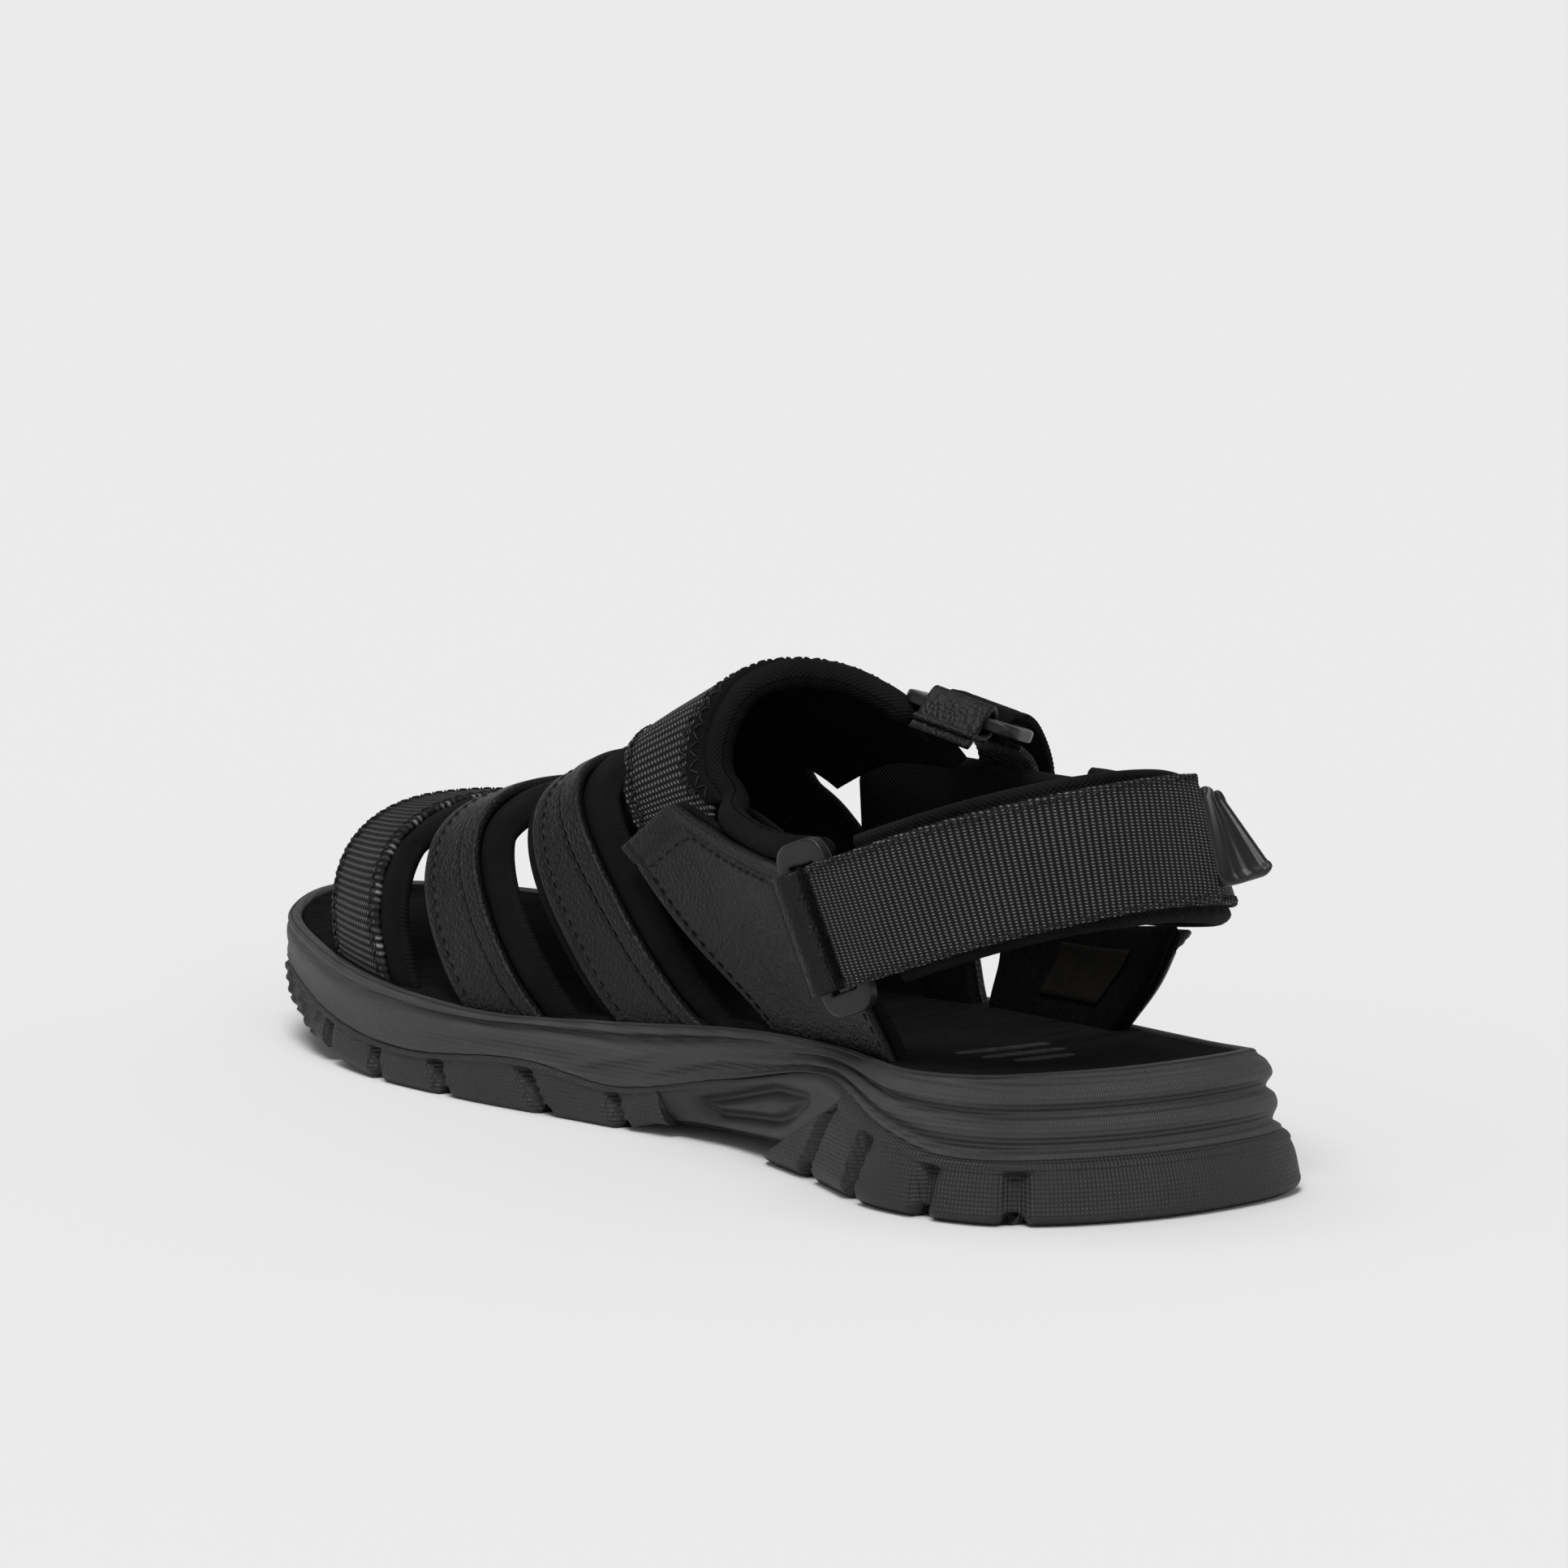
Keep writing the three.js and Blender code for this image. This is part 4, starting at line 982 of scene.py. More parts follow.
for key, strap in STRAPS.items():
    rear_edge = window_join(key, *BEHIND[key])
    gap = lambda v, rear=strap["rear"], join=rear_edge: edge_at(rear, v) - join(v)
    piece = band(
        f"{key}_lining_padding", NEOPRENE, shift(strap["front"], strap["lining"][0]), rear_edge,
        FOOT_END, -FOOT_END, *LINING, rows=150, across=33, lift=lining_lift(strap["lining"][0], gap),
    )
    finish_piece(piece, "sandal", "neoprene", f"{key}_strap_lining", SPINES[key])
    over = (shift(strap["front"], 0), shift(strap["rear"], 0), FOOT_END, -FOOT_END, *OVERLAY)
    if key == "toe":
        top = band(
            "toe_strap_weave", STRAP_RIB, *over, rows=260, across=21,
            lift=toe_strap_lift, wobble=wavy(0.22, 3.2),
        )
        finish_piece(top, "sandal", "webbing", "toe_strap_webbing")
    else:
        top = band(f"{key}_strap_cover", LEATHER, *over, rows=150, across=41, lift=folded_hem(4.2, 0.75))
        finish_piece(top, "sandal", "leather", f"{key}_strap_leather")

# Instep piece: lining, webbing and the rolled edge by the collar.
INSTEP_END = (0.57, -0.5)
COLLAR_RADIUS = 2.8
COLLAR_GAP = 4.6


def instep_sink(v):
    """How far the instep piece draws in under the medial quarter."""
    return 4.4 * smooth(v, 0.2, 0.6)


def instep_front(v, by=0.0):
    return edge_at(INSTEP_FRONT, v) + 1.1 * instep_sink(v) + by


def collar_run(v):
    return collar_station(v) + 1.4 * instep_sink(v)


def instep_rear(v, by=0.0):
    return collar_run(v) + COLLAR_GAP + by


def instep_puff(v, share, width, s):
    d = share * width
    bound = 1.5 * (1 - smooth(d, 0.5, 2.0)) + 2.2 * smooth(d, width - 6.5, width - 4.0)
    return bound + 0.1 * np.sin(s / 3.7)


piece = band(
    "instep_lining_padding", NEOPRENE, instep_front, lambda v: instep_rear(v, -2.4),
    INSTEP_END[0] + 0.02, INSTEP_END[1] - 0.02, *LINING,
    rows=90, across=31, lift=instep_puff, sink=instep_sink,
)
finish_piece(piece, "sandal", "neoprene", "instep_lining")
piece = band(
    "instep_strap_weave", STRAP_RIB, lambda v: instep_front(v, -0.8), lambda v: instep_rear(v, 1.2),
    0.76, INSTEP_END[1], -1.3, 0.15, rows=160, across=25, sink=instep_sink,
    lift=lambda v, share, width, s: sewn_edges(share, width, 2.2), wobble=wavy(0.2, 3.2),
)
finish_piece(piece, "sandal", "webbing", "instep_webbing")


def tube(name, line, radius, material, squeeze, around=36, count=260):
    """A soft roll along a line; squeeze(s, angle) scales its radius."""
    p = resample(line, count)
    way = unit(np.gradient(p, axis=0))
    up = np.zeros_like(p)
    guide = np.array([0.0, 0.0, 1.0])
    for i in range(count):
        guide = guide - way[i] * guide.dot(way[i])
        guide /= np.linalg.norm(guide)
        up[i] = guide
    across = np.cross(way, up)
    s = arc(p)
    a = np.linspace(0, 2 * math.pi, around, endpoint=False)
    r = radius * squeeze(s[:, None], a[None, :])
    # each end closes like a half ball, kept from shrinking to a point
    from_end = np.minimum(s, s[-1] - s) / radius
    r = r * rounded(from_end, 0.02)[:, None]
    x, y = (np.cos(a) * r)[..., None], (np.sin(a) * r)[..., None]
    rows = p[:, None] + up[:, None] * x + across[:, None] * y
    uv = np.stack([np.broadcast_to(s[:, None], r.shape), np.broadcast_to(a * radius, r.shape)], -1) * MM
    return loft(name, rows, material, uv)


def collar_line():
    over = np.array([0.57, 0.5, 0.38, 0.2, 0, -0.12, -0.2, -0.3, -0.38])
    rear = [(-76, 37, 64.9), (-60, 35.2, 63), (-46, 33, 62.8), (-33, 31, 65)]
    pts, _ = on_form(collar_run(over), over, -3.0 - instep_sink(over))
    return spline(rear + [tuple(p) for p in pts])


def collar_squeeze(s, a):
    taper = 1 - 0.35 * smooth(s, 118, 150) - 0.12 * (1 - smooth(s, 0, 12))
    pucker = 0.035 * np.sin(s * 2 * math.pi / 4.3) * smooth(np.cos(a - 0.6), 0.0, 0.9)
    return taper + pucker


piece = tube("collar_padding", collar_line(), COLLAR_RADIUS, PADDING, collar_squeeze)
finish_piece(piece, "sandal", "neoprene", "collar_roll")

# ---------------------------------------------------------------- upper: quarters


def foot_line(front, rear, side):
    x = np.linspace(front, rear, 5)
    return np.stack([x, side_at(x, side) - side * 0.9, rim_top(x) - 2.6], 1)


QUARTER_BULGE = 1.5


def quarter_surface(low, high, t, side):
    """Points a share t of the way up from a foot line to an upper edge, bulging outwards."""
    p = low * (1 - t)[..., None] + high * t[..., None]
    ease = t * t * (3 - 2 * t)
    swell = side * QUARTER_BULGE * np.sin(math.pi * np.clip(t, 0, 1)) ** 2
    p[..., 1] = low[..., 1] * (1 - ease) + high[..., 1] * ease + swell
    return p


def outward(way, up, side):
    """Unit normals on one side of the foot, from two directions in a surface."""
    normal = unit(np.cross(way, up))
    return np.where((normal[..., 1] * side < 0)[..., None], -normal, normal)


def quarter(name, material, foot, top, side, inner, outer, columns=90, across=41, lift=None):
    """A sheet between a foot line and a free upper edge, with rounded edges."""
    low = resample(spline(foot_line(foot[0], foot[1], side)), columns)[:, None]
    high = resample(spline(top), columns)[:, None]
    t, round_off, level = section(across)
    half = (outer - inner) / 2
    surface = lambda share: quarter_surface(low, high, share[None], side)
    height = np.linalg.norm(high - low, axis=2)
    beyond = np.where(t > 0.5, 1, -1) * np.abs(round_off) * half / height.mean()
    normal = outward(np.gradient(surface(t), axis=0), surface(t + 0.01) - surface(t - 0.01), side)
    s = arc(high[:, 0])[:, None]
    # rounded ends, so that the sheet's front and rear edges aren't square
    ends = rounded(np.minimum(s, s[-1] - s) / half, 0.01)
    h = (inner + outer) / 2 + half * level * ends
    if lift is not None:
        h = h + lift(s, np.broadcast_to(t, h.shape), height, s[-1]) * outer_share(level)
    rows = surface(t + beyond) + normal * h[..., None]
    uv = np.stack([np.broadcast_to(s, h.shape), np.broadcast_to(t, h.shape) * height], -1) * MM
    return loft(name, rows, material, uv)


def quarter_hems(s, t, height, total):
    """A double fold along the top, and lines of stitches down the front and rear."""
    d_top = (1 - t) * height
    folds = 0.7 * (1 - smooth(d_top, 3.4, 4.4)) + 0.35 * (1 - smooth(d_top, 1.2, 1.9))
    seams = dent(d_top, 5.0, 0.3, 0.5) + dent(s, 3.0, 0.3, 0.5) + dent(total - s, 3.4, 0.3, 0.5)
    return folds + seams


# Each quarter: its foot's front and rear, its upper edge and its side of the foot.
QUARTERS = [
    ("medial_quarter", (-46, -97), [
        (-2, 36.9, 55.6), (-9, 35.8, 60.6), (-16.5, 34.6, 65.6), (-24, 34.4, 63.8),
        (-34, 34.9, 61.8), (-47, 35.9, 60.2), (-60, 37.3, 59.6), (-75, 39.1, 60.2),
    ], 1),
    ("lateral_front_quarter", (-18, -36), [
        (6, -33.4, 43.6), (-4, -33.4, 44), (-16, -33.4, 44.4),
    ], -1),
    ("lateral_heel_quarter", (-44, -88), [
        (-40, -31.4, 43.6), (-60, -31.2, 43.4), (-84, -29.4, 44.4), (-110, -24.4, 47.6),
    ], -1),
]
for name, foot, top, side in QUARTERS:
    inner_face = FLEECE if side < 0 else NEOPRENE
    piece = quarter(f"{name}_padding", inner_face, (foot[0] + 3, foot[1]), top, side, *LINING)
    finish_piece(piece, "sandal", "neoprene", f"{name}_lining")
    piece = quarter(
        f"{name}_cover", LEATHER, foot, top, side, *OVERLAY, lift=quarter_hems, columns=140, across=61
    )
    finish_piece(piece, "sandal", "leather", f"{name}_leather")

# ---------------------------------------------------------------- closures

PAD = 4.5
BACK_X = -LENGTH / 2 + 17
HEEL_PATH = [
    (-93, 41.3, 54.5), (-107, 38.1, 59.6), (-120, 29.7, 64.8), (BACK_X, 15.7, 69), (BACK_X - 1, -1.3, 69.8),
    (BACK_X + 5, -16.3, 67.8), (-113, -25.8, 64.5), (-92, -30.8, 61.5), (-70, -32.9, 60),
]
ANKLE_PATH = [
    (-69, -33, 60), (-50, -34.1, 59.2), (-30, -34.9, 59), (-12, -34.3, 58.6), (2, -32.3, 58),
    (9, -30.3, 57.5),
]
INSTEP_PATH = [
    (-37.4, -23.4, 77.4), (-33, -31, 75.4), (-29, -37.2, 70.4), (-26.4, -39.3, 61), (-25.4, -38.9, 51),
]
RING_TILT = unit(np.array([0.33, 0.2, 0.92]))
BACK_TILT = unit(np.array([0.22, 0.26, 0.94]))
UPRIGHT = unit(np.array([0.05, 0, 1.0]))
ALONG_SOLE = unit(np.array([0.95, 0.24, 0.2]))


class Frames:
    """A strap's path: points with the way along, the way across and the outward normal."""

    def __init__(self, p, across, out):
        self.p, self.across, self.out = p, across, out
        self.s = arc(p)

    def part(self, a, b):
        """The stretch between two shares of the path's steps."""
        n = len(self.p) - 1
        keep = slice(int(round(a * n)), int(round(b * n)) + 1)
        return Frames(self.p[keep], self.across[keep], self.out[keep])

    def joined(self, other):
        return Frames(*(np.vstack([getattr(self, k), getattr(other, k)]) for k in ("p", "across", "out")))


def path_frames(rows, across_at, centre, steps):
    p = resample(spline(rows), steps + 1)
    way = unit(np.gradient(p, axis=0))
    t = np.linspace(0, 1, steps + 1)
    across = np.array([across_at(x) for x in t])
    across = unit(across - way * np.sum(across * way, 1, keepdims=True))
    out = unit(np.cross(way, across))
    if centre is not None:
        turn = np.sum(out * (p - centre), 1) < 0
        out[turn] *= -1
    return Frames(p, across, out)


def heel_across(t):
    lean = RING_TILT + (BACK_TILT - RING_TILT) * np.clip(t * 2.2, 0, 1)
    return unit(lean + (UPRIGHT - lean) * smooth(t, 0.7, 1.0))


FINE = 6
HEEL_STEPS = 40 * FINE
INSTEP_STEPS = 20 * FINE
heel = path_frames(HEEL_PATH, heel_across, np.array([-92, 3.7, 60]), HEEL_STEPS)
ankle = path_frames(ANKLE_PATH, lambda t: UPRIGHT, np.array([-40, 3.7, 45]), 90)
instep = path_frames(INSTEP_PATH, lambda t: ALONG_SOLE, np.array([-40, 3.7, 45]), INSTEP_STEPS)


def ribbon(name, material, f, width, inner, outer, across=21, lift=None, wobble=None, round_ends=None):
    """A strap along frames, with rounded edges; round_ends rounds its outline at both ends."""
    share, side, level = section(across)
    half = (outer - inner) / 2
    s = f.s[:, None]
    w = np.full((len(f.p), 1), width, float)
    if wobble is not None:
        w = w + 2 * wobble(s)
    if round_ends is not None:
        for d in (s, s[-1] - s):
            w = w - 2 * round_ends * (1 - rounded(d / round_ends))
    bulge = np.where(share > 0.5, 1, -1) * np.abs(side) * half / 2
    y = (share - 0.5) * (w - half) + bulge
    cap = rounded(np.minimum(s, s[-1] - s) / half, 0.03)
    h = (inner + outer) / 2 + half * level * cap
    if lift is not None:
        h = h + lift(s, y, w) * outer_share(level) * cap
    rows = f.p[:, None] + f.across[:, None] * y[..., None] + f.out[:, None] * h[..., None]
    uv = np.stack([np.broadcast_to(s, y.shape), y], -1) * MM
    return loft(name, rows, material, uv)


def padded_lift(pucker, height=0.6, edge=2.5):
    """A crowned pad that thins to its bound edges, with small puckers by the seam."""

    def lift(s, y, w):
        d = w / 2 - np.abs(y)
        crown = height * smooth(d, 0.0, edge) + dent(d, 2.4, 0.5, 0.7)
        folds = np.sin(s * 2 * math.pi / 3.7 + 1.2 * np.sin(s / 9.0)) * dent(d, 3.6, pucker, 1.8)
        return crown - folds - height

    return lift


# Layers of a closure, outwards from the face of the padding.
UNDER = (0.3, 1.7)
LOOPS = (2.0, 3.0)
HOOK = (3.3, 4.3)
FLAP_INNER = 4.6
SHEET = 1.4
RING_BAR = 3.2
RING_SLOT = 6.6
RING_END_WIDE = 4.8
RING_LIFT = UNDER[1] + 0.3 + RING_BAR / 2 + 0.9
BAR_STEP = RING_SLOT + RING_BAR
BAR_REACH = RING_BAR * 0.62
TURN_RADIUS = BAR_REACH + 0.3 + SHEET / 2


class Ring:
    """A ring's own frame: x along the strap away from it, y along the bars, z outwards."""

    def __init__(self, f):
        way = unit(f.p[1] - f.p[0])
        self.z = f.out[0]
        self.y = np.cross(self.z, way)
        self.x = way
        self.origin = f.p[0] + self.z * RING_LIFT

    def place(self, points):
        p = np.asarray(points, float)
        return self.origin + p[..., :1] * self.x + p[..., 1:2] * self.y + p[..., 2:3] * self.z


def turn(ring_frame, radius, start, end, count, shift_x=0.0):
    a = np.linspace(start, end, count)
    local = np.stack([np.cos(a) * radius + shift_x, np.zeros(count), np.sin(a) * radius], 1)
    out = np.stack([np.cos(a), np.zeros(count), np.sin(a)], 1)
    place = ring_frame.place(local)
    outward = out[:, :1] * ring_frame.x + out[:, 2:3] * ring_frame.z
    return Frames(place, np.broadcast_to(ring_frame.y, (count, 3)).copy(), outward)


def flap_frames(ring_frame, run, settle):
    wrap = turn(ring_frame, TURN_RADIUS, math.pi * 1.5, math.pi * 0.5, 26)
    lift_bar = RING_LIFT + TURN_RADIUS
    share = np.arange(len(run.p)) / len(run.p)
    lift = lift_bar + (FLAP_INNER + SHEET / 2 - lift_bar) * smooth(share, 0, settle)
    across = run.across.copy()
    across[np.sum(across * ring_frame.y, 1) < 0] *= -1
    return wrap.joined(Frames(run.p + run.out * lift[:, None], across, run.out))


def keeper_frames(ring_frame, tail):
    """A loop round the ring's inner bar, both tails running back on to the shoe."""
    radius = BAR_REACH + 0.3 + 0.8
    d = np.linspace(0, tail, 14)[1:]
    low = np.stack([-BAR_STEP - d[::-1], 0 * d, np.full(len(d), -radius)], 1)
    high_z = radius + (-0.9 - RING_LIFT - radius) * smooth(d, 0, tail)
    high = np.stack([-BAR_STEP - d, 0 * d, high_z], 1)
    wrap = turn(ring_frame, radius, -math.pi / 2, math.pi / 2, 18, -BAR_STEP)
    p = np.vstack([ring_frame.place(low), wrap.p, ring_frame.place(high)])
    across = np.broadcast_to(ring_frame.y, p.shape).copy()
    way = unit(np.gradient(p, axis=0))
    out = unit(np.cross(way, across))
    if np.dot(out[len(low) + 9], wrap.out[9]) < 0:
        out = -out
    return Frames(p, across, out)


RING_CORNER = 2.6
RING_SQUARENESS = 0.4


def ring_piece(name, ring_frame, width):
    """A moulded ring: a rounded frame with softly bevelled bars, a little crowned."""
    half_y = width / 2 + 0.3 + RING_END_WIDE / 2
    half_x = BAR_STEP / 2
    line = []
    for quarter_turn, (way_x, way_y) in enumerate(((1, 1), (-1, 1), (-1, -1), (1, -1))):
        for a in np.radians(90 * quarter_turn + np.linspace(0, 90, 9)):
            x = way_x * (half_x - RING_CORNER) + RING_CORNER * math.cos(a)
            line.append((x, way_y * (half_y - RING_CORNER) + RING_CORNER * math.sin(a)))
    p = resample(np.array(line + line[:1]), 161)[:-1]
    way = unit(np.roll(p, -1, 0) - np.roll(p, 1, 0))
    outwards = np.stack([way[:, 1], -way[:, 0]], 1)
    a = np.linspace(0, 2 * math.pi, 24, endpoint=False)
    # superellipse bar section, a little wider on the ends than on the bars
    c, s = np.cos(a), np.sin(a)
    on_end = smooth(np.abs(p[:, 1]), half_y - 2.5, half_y)[:, None]
    wide = (RING_BAR / 2) * (1 - on_end) + (RING_END_WIDE / 2) * on_end
    reach = np.sign(c) * np.abs(c) ** RING_SQUARENESS * wide
    rows = np.zeros((len(p), len(a), 3))
    rows[..., :2] = p[:, None] + outwards[:, None] * reach[..., None]
    rows[..., 0] -= BAR_STEP / 2
    rows[..., 2] = np.sign(s) * np.abs(s) ** RING_SQUARENESS * 0.85 * RING_BAR / 2
    n, m = rows.shape[:2]
    faces = [
        (r * m + k, r * m + (k + 1) % m, ((r + 1) % n) * m + (k + 1) % m, ((r + 1) % n) * m + k)
        for r in range(n) for k in range(m)
    ]
    return make(name, ring_frame.place(rows).reshape(-1, 3), faces, PLASTIC)


TAB_THICK = 2.4
TAB_FLARE = 1.8


def tab_piece(name, flap, width, length, twist=0.0):
    """A moulded pull tab over the flap's end: thick lip, pressed dish and grip ribs."""
    end, before = flap.p[-1], flap.p[-2]
    t = np.linspace(0, 1, 44)
    p = end + unit(end - before) * (0.3 + t * length)[:, None]
    p = p + flap.out[-1] * (TAB_FLARE * t**2)[:, None]
    lean = -twist * np.sign(flap.across[-1][2]) * smooth(t, 0, 1)
    across = unit(flap.across[-1] + flap.out[-1] * lean[:, None])
    out = unit(np.cross(unit(np.gradient(p, axis=0)), across))
    out *= np.sign(np.sum(out * flap.out[-1], 1, keepdims=True))

    def lift(s, y, w):
        lip = 0.5 * (1 - smooth(w / 2 - np.abs(y), 1.0, 2.0)) + 0.6 * smooth(s, length - 2.2, length - 1.2)
        dish = smooth(s, 3, 4) * (1 - smooth(s, length - 4, length - 3))
        return lip + 0.35 * smooth(np.sin(s * 2 * math.pi / 2.6), -0.2, 0.7) * dish - 0.5

    f = Frames(p, across, out)
    half = TAB_THICK / 2
    return ribbon(name, PLASTIC, f, width, -half, half, lift=lift, round_ends=2.0, across=31)


def hem_lift(s, y, w):
    """Two stitched-down lines near the edges of a strap."""
    return dent(w / 2 - np.abs(y), 2.0, 0.22, 0.45)


KEEPER_THICK = 1.6


def closure(
    key, path, steps, run, settle, under, loops, hooks, width, tape, flap_look, across, tab, keeper
):
    """A strap's webbing, tapes, flap, tab, ring and keeper; gives back the flap's frames.

    run, under, loops and hooks are stretches of the path, counted in its steps."""
    part = lambda stretch: path.part(stretch[0] / steps, stretch[1] / steps)
    edged = {"lift": hem_lift, "wobble": wavy(0.12, 1.3)}
    ring_frame = Ring(path)
    flap = flap_frames(ring_frame, part(run), settle)
    moving = f"{key}_flap"
    piece = ribbon(f"{key}_under_webbing", WEBBING, part(under), width, *UNDER, **edged)
    finish_piece(piece, "sandal", "webbing", f"{key}_strap_webbing")
    piece = ribbon(f"{key}_loop_tape", HOOKS, part(loops), tape, *LOOPS)
    finish_piece(piece, "sandal", "hook_and_loop", f"{key}_loop_patch")
    piece = ribbon(f"{key}_hook_tape", HOOKS, part(hooks), tape, *HOOK)
    finish_piece(piece, moving, "hook_and_loop", f"{key}_hook_patch")
    piece = ribbon(f"{key}_flap_strap", flap_look, flap, width, -SHEET / 2, SHEET / 2, across=across, **edged)
    finish_piece(piece, moving, "webbing", f"{key}_flap_webbing")
    finish_piece(tab_piece(f"{key}_grip_tab", flap, *tab), moving, "plastic", f"{key}_pull_tab")
    piece = ring_piece(f"{key}_loop_ring", ring_frame, width)
    finish_piece(piece, f"{key}_ring_body", "plastic", f"{key}_ring")
    tail, keeper_width = keeper
    loop = keeper_frames(ring_frame, tail)
    piece = ribbon(f"{key}_keeper_loop", LEATHER, loop, keeper_width, -KEEPER_THICK / 2, KEEPER_THICK / 2)
    finish_piece(piece, "sandal", "leather", f"{key}_ring_keeper")
    return flap


piece = ribbon(
    "heel_padding", PADDING, heel.part(1 / 40, 1), 30, -PAD, 0.1, across=41, lift=padded_lift(0.25)
)
finish_piece(piece, "sandal", "neoprene", "heel_strap_pad")
heel_flap = closure(
    "heel", heel, 40, run=(1, 21), settle=0.45, under=(3, 38), loops=(7, 19), hooks=(11, 19),
    width=25, tape=22, flap_look=WEBBING, across=41, tab=(20, 10.5, 0.5), keeper=(9, 24.5),
)
piece = ribbon(
    "ankle_padding", PADDING, ankle, 25, -PAD - 0.8, 0.3, across=41, lift=padded_lift(0.3), round_ends=9
)
finish_piece(piece, "sandal", "neoprene", "lateral_ankle_pad")
closure(
    "instep", instep, 20, run=(2, 17), settle=0.5, under=(3, 19), loops=(11, 18), hooks=(12, 17),
    width=16, tape=13.5, flap_look=HOOKS, across=31, tab=(15, 12), keeper=(6, 14),
)

# ---------------------------------------------------------------- sewing


STITCH_SIDES, STITCH_RINGS = 6, 5


def stitch_mesh(name, groups, thick=0.55):
    """Short round stitches, each bowed up off the surface, as one mesh."""
    a = np.linspace(0, 2 * math.pi, STITCH_SIDES, endpoint=False)
    points, faces = [], []
    starts, ends, normals = (np.vstack([g[k] for g in groups]) for k in range(3))
    for start, end, normal in zip(starts, ends, normals):
        side = unit(np.cross(unit(end - start), normal))
        base = len(points) * STITCH_SIDES
        for k in np.linspace(0, 1, STITCH_RINGS):
            bow = (2 * k - 1) ** 4
            r = thick / 2 * math.sqrt(max(1 - bow, 0.08))
            c = start + (end - start) * k + normal * thick * (0.25 - 0.9 * bow)
            points.append([c + side * math.cos(x) * r + normal * math.sin(x) * r for x in a])
        for low in range(base, base + (STITCH_RINGS - 1) * STITCH_SIDES, STITCH_SIDES):
            for k in range(STITCH_SIDES):
                m = (k + 1) % STITCH_SIDES
                faces.append((low + k, low + m, low + STITCH_SIDES + m, low + STITCH_SIDES + k))
        top = base + (STITCH_RINGS - 1) * STITCH_SIDES
        for low, flip in ((base, -1), (top, 1)):
            faces.append((low, low + 1, low + 2, low + 3)[::flip])
            faces.append((low, low + 3, low + 4, low + 5)[::flip])
    return make(name, np.array(points).reshape(-1, 3), faces, THREAD)


def running(line, normals, pitch=3.0, length=2.1):
    """Starts, ends and normals of a plain stitch line."""
    s = arc(line)
    at = (np.arange(max(int(s[-1] // pitch), 1)) + 0.25) * pitch
    ends = sample(np.minimum(at + length, s[-1]), s, line)
    return sample(at, s, line), ends, unit(sample(at + length / 2, s, normals))


def zigzag(line, normals, sides, pitch=1.5, reach=1.1):
    """Starts, ends and normals of a zigzag across a line; sides points across it."""
    s = arc(line)
    count = max(int(s[-1] // pitch), 2)
    at = np.arange(count + 1) * pitch
    way = np.where(np.arange(count + 1) % 2 == 0, 1, -1)[:, None]
    p = sample(at, s, line) + unit(sample(at, s, sides)) * way * reach
    return p[:-1], p[1:], unit(sample(at[:-1] + pitch / 2, s, normals))


def form_line(edge, start, end, lift, sink=None, count=160):
    """A line over the form along an edge, with its normals and cross ways."""
    v = np.linspace(start, end, count)
    lift = np.full(count, lift) - (0 if sink is None else sink(v))
    p, n = on_form(edge(v), v, lift)
    return p, n, unit(np.cross(n, unit(np.gradient(p, axis=0))))


def ribbon_lines(f, offset, lift, pitch):
    """Zigzags near both edges of a strap."""
    lines = [f.p + f.across * offset * sign + f.out * lift for sign in (1, -1)]
    return [zigzag(line, f.out, f.across, pitch=pitch, reach=0.8) for line in lines]


STITCH_END = 0.99
for key in ("second", "third"):
    lines = [
        running(*form_line(shift(STRAPS[key][edge], by), STITCH_END, -STITCH_END, lift)[:2])
        for edge, by, lift in (("rear", 5.0, 0.0), ("front", -2.4, -0.05))
    ]
    finish_piece(stitch_mesh(f"{key}_strap_stitches", lines), "sandal", "leather")
lines = [
    zigzag(*form_line(shift(STRAPS["toe"][edge], by), STITCH_END, -STITCH_END, 0.15))
    for edge, by in (("rear", 1.7), ("front", -1.7))
]
finish_piece(stitch_mesh("toe_strap_stitches", lines, thick=0.45), "sandal", "webbing")
lines = [
    zigzag(*form_line(lambda v: instep_front(v, -2.6), 0.66, INSTEP_END[1], 0.3, instep_sink)),
    zigzag(*form_line(lambda v: instep_rear(v, 3.0), 0.57, INSTEP_END[1], 0.3, instep_sink)),
    zigzag(*form_line(lambda v: instep_rear(v, -0.6), 0.57, -0.46, 0.45, instep_sink), pitch=1.9, reach=1.3),
]
finish_piece(stitch_mesh("instep_stitches", lines, thick=0.45), "sandal", "webbing")
for name, f, offset, lift, pitch, body, slot in (
    ("heel_flap", heel_flap, 11.6, SHEET / 2 + 0.02, 1.5, "heel_flap", "webbing"),
    ("heel_webbing", heel.part(20 / 40, 37 / 40), 11.4, UNDER[1] - 0.05, 1.6, "sandal", "webbing"),
    ("ankle", ankle, 10.2, -0.35, 2.0, "sandal", "neoprene"),
):
    piece = stitch_mesh(f"{name}_stitches", ribbon_lines(f, offset, lift, pitch), thick=0.42)
    finish_piece(piece, body, slot)

QUARTER_STEPS = 200


def quarter_line(foot, top, side, at, lift):
    """A line over a quarter's outer face, through (share along, share up) points."""
    low = resample(spline(foot_line(foot[0], foot[1], side)), QUARTER_STEPS)
    high = resample(spline(top), QUARTER_STEPS)
    shares = np.linspace(0, 1, QUARTER_STEPS)

    def surface(u, t):
        return quarter_surface(sample(u, shares, low), sample(u, shares, high), t, side)

    u, t = resample(np.array(at, float), 120).T
    way = surface(u + 0.01, t) - surface(u - 0.01, t)
    n = outward(way, surface(u, t + 0.01) - surface(u, t - 0.01), side)
    return surface(u, t) + n * lift, n


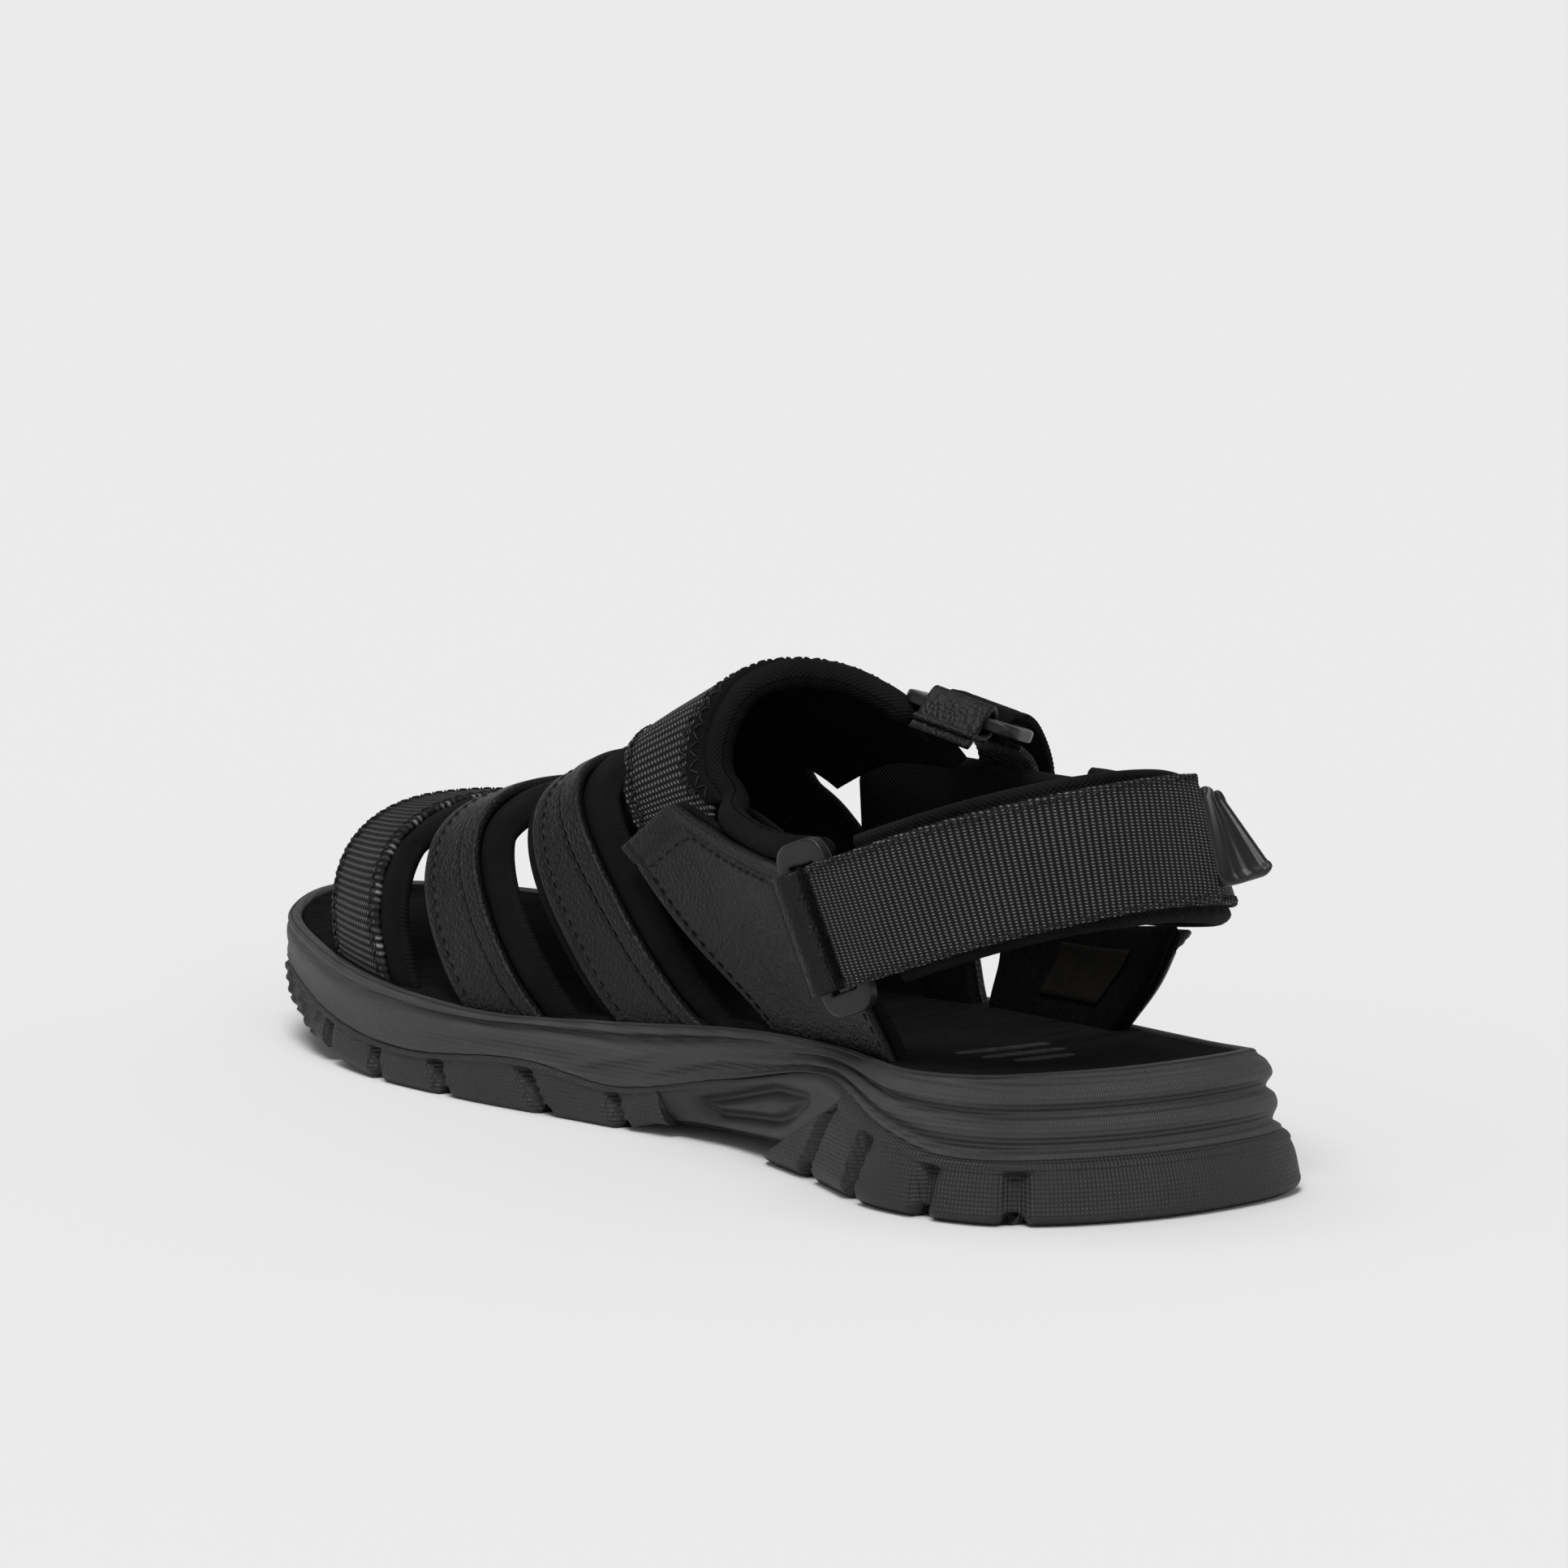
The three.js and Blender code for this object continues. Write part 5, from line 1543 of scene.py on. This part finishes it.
# How long and how high each quarter is, about, to place its stitches.
QUARTER_SIZES = {"lateral_front_quarter": (22.0, 26.0)}
for name, foot, top, side in QUARTERS:
    w, h = QUARTER_SIZES.get(name, (75.0, 40.0))
    front, rear, upper = 2.4 / w, 1 - 2.8 / w, 1 - 5.0 / h
    # down the front edge, along under the top hem and down the rear edge
    lines = [
        running(*quarter_line(foot, top, side, [(front, 0.1), (front, upper)], 0.0)),
        running(*quarter_line(foot, top, side, [(front, upper), (rear, upper)], 0.05)),
        running(*quarter_line(foot, top, side, [(rear, upper), (rear, 0.1)], 0.0)),
    ]
    finish_piece(stitch_mesh(f"{name}_stitches", lines), "sandal", "leather")

# A plain woven label inside the lateral heel quarter, with no words on it.
LABEL_THICK = 0.35
_, foot, top, side = QUARTERS[2]
inside = [quarter_line(foot, top, side, [(0.36, t), (0.8, t)], -4.25) for t in np.linspace(0.22, 0.82, 14)]
outer_face = np.array([p for p, n in inside])
inner_face = np.array([p - n * LABEL_THICK for p, n in inside])
u, v = np.meshgrid(np.linspace(0, 0.02, 120), np.linspace(0, 0.013, 14))
finish_piece(sheet("inner_label", inner_face, outer_face, LABEL, np.stack([u, v], -1)), "sandal", "webbing")


BAR_CENTRE = 4
BAR_HALF = 1.6
BAR_POINTS = 16


def print_bars():
    """Three plain bars pressed on the heel of the footbed."""
    points, faces = [], []
    for x0, length in ((-88, 26), (-95, 20), (-102, 14)):
        base = len(points)
        for share in np.linspace(-1, 1, BAR_POINTS):
            half = BAR_HALF * math.sqrt(max(1 - share**8, 0.1))
            for dx, dz in ((-half, 0.22), (half, 0.22), (half, -0.6), (-half, -0.6)):
                z = float(rim_top(x0 + dx)) - FOOTBED_DROP - FOOTBED_CUP + dz
                points.append((x0 + dx, BAR_CENTRE + share * length / 2, z))
        last = base + 4 * (BAR_POINTS - 1)
        for a in range(base, last, 4):
            faces.extend((a + m, a + (m + 1) % 4, a + 4 + (m + 1) % 4, a + 4 + m) for m in range(4))
        faces.append((base + 3, base + 2, base + 1, base))
        faces.append((last, last + 1, last + 2, last + 3))
    return make("footbed_bars", points, faces, PRINT, shade=False)


finish_piece(print_bars(), "sandal", "suede")

# ---------------------------------------------------------------- camera, light, floor

CAMERA_PLACE = Vector((-1.6505, 1.09, 0.3496))
CAMERA_AIM = Vector((0, -0.00285, 0.06554))
FLOOR_REACH = 40.0


def looking(way):
    return way.to_track_quat("-Z", "Y").to_euler()


camera_data = bpy.data.cameras.new("camera")
camera_data.sensor_width = 36
camera_data.lens = 226.6
camera_data.clip_start, camera_data.clip_end = 0.05, 60
camera = new_object("camera", camera_data)
camera.location = CAMERA_PLACE
camera.rotation_euler = looking(CAMERA_AIM - CAMERA_PLACE)
bpy.context.scene.camera = camera


def floor():
    mesh = bpy.data.meshes.new("floor")
    corners = [(x * FLOOR_REACH, y * FLOOR_REACH, 0) for x, y in ((-1, -1), (1, -1), (1, 1), (-1, 1))]
    mesh.from_pydata(corners, [], [(0, 1, 2, 3)])
    s = Shader("pale_floor", 0.9, specular=0.1)
    s.b.inputs["Base Color"].default_value = (0.86, 0.86, 0.86, 1)
    mesh.materials.append(s.m)
    new_object("floor", mesh)


def sun(name, place, power, angle):
    """Soft light from one side, even over the whole floor."""
    data = bpy.data.lights.new(name, "SUN")
    data.energy = power
    data.angle = math.radians(angle)
    new_object(name, data).rotation_euler = looking(-Vector(place))


def studio():
    """A white room: bright walls low down, softer light from above."""
    world = bpy.data.worlds.new("studio")
    bpy.context.scene.world = world
    world.use_nodes = True
    sky = world.node_tree
    direction = sky.nodes.new("ShaderNodeTexCoord")
    height = sky.nodes.new("ShaderNodeSeparateXYZ")
    walls = sky.nodes.new("ShaderNodeValToRGB")
    for stop, position, bright in zip(walls.color_ramp.elements, (0.12, 0.42), (0.84, 0.2)):
        stop.position, stop.color = position, (bright, bright, bright, 1)
    sky.links.new(direction.outputs["Generated"], height.inputs[0])
    sky.links.new(height.outputs[2], walls.inputs[0])
    sky.links.new(walls.outputs[0], sky.nodes["Background"].inputs[0])
    sky.nodes["Background"].inputs[1].default_value = 1.0


floor()
sun("key", (-0.8, 0.75, 1.8), 1.75, 26)
sun("top", (0.5, 0.1, 2.0), 0.7, 40)
sun("rim", (-1.6, 0.5, 0.7), 0.3, 30)
studio()
bpy.context.scene.view_settings.view_transform = "Standard"
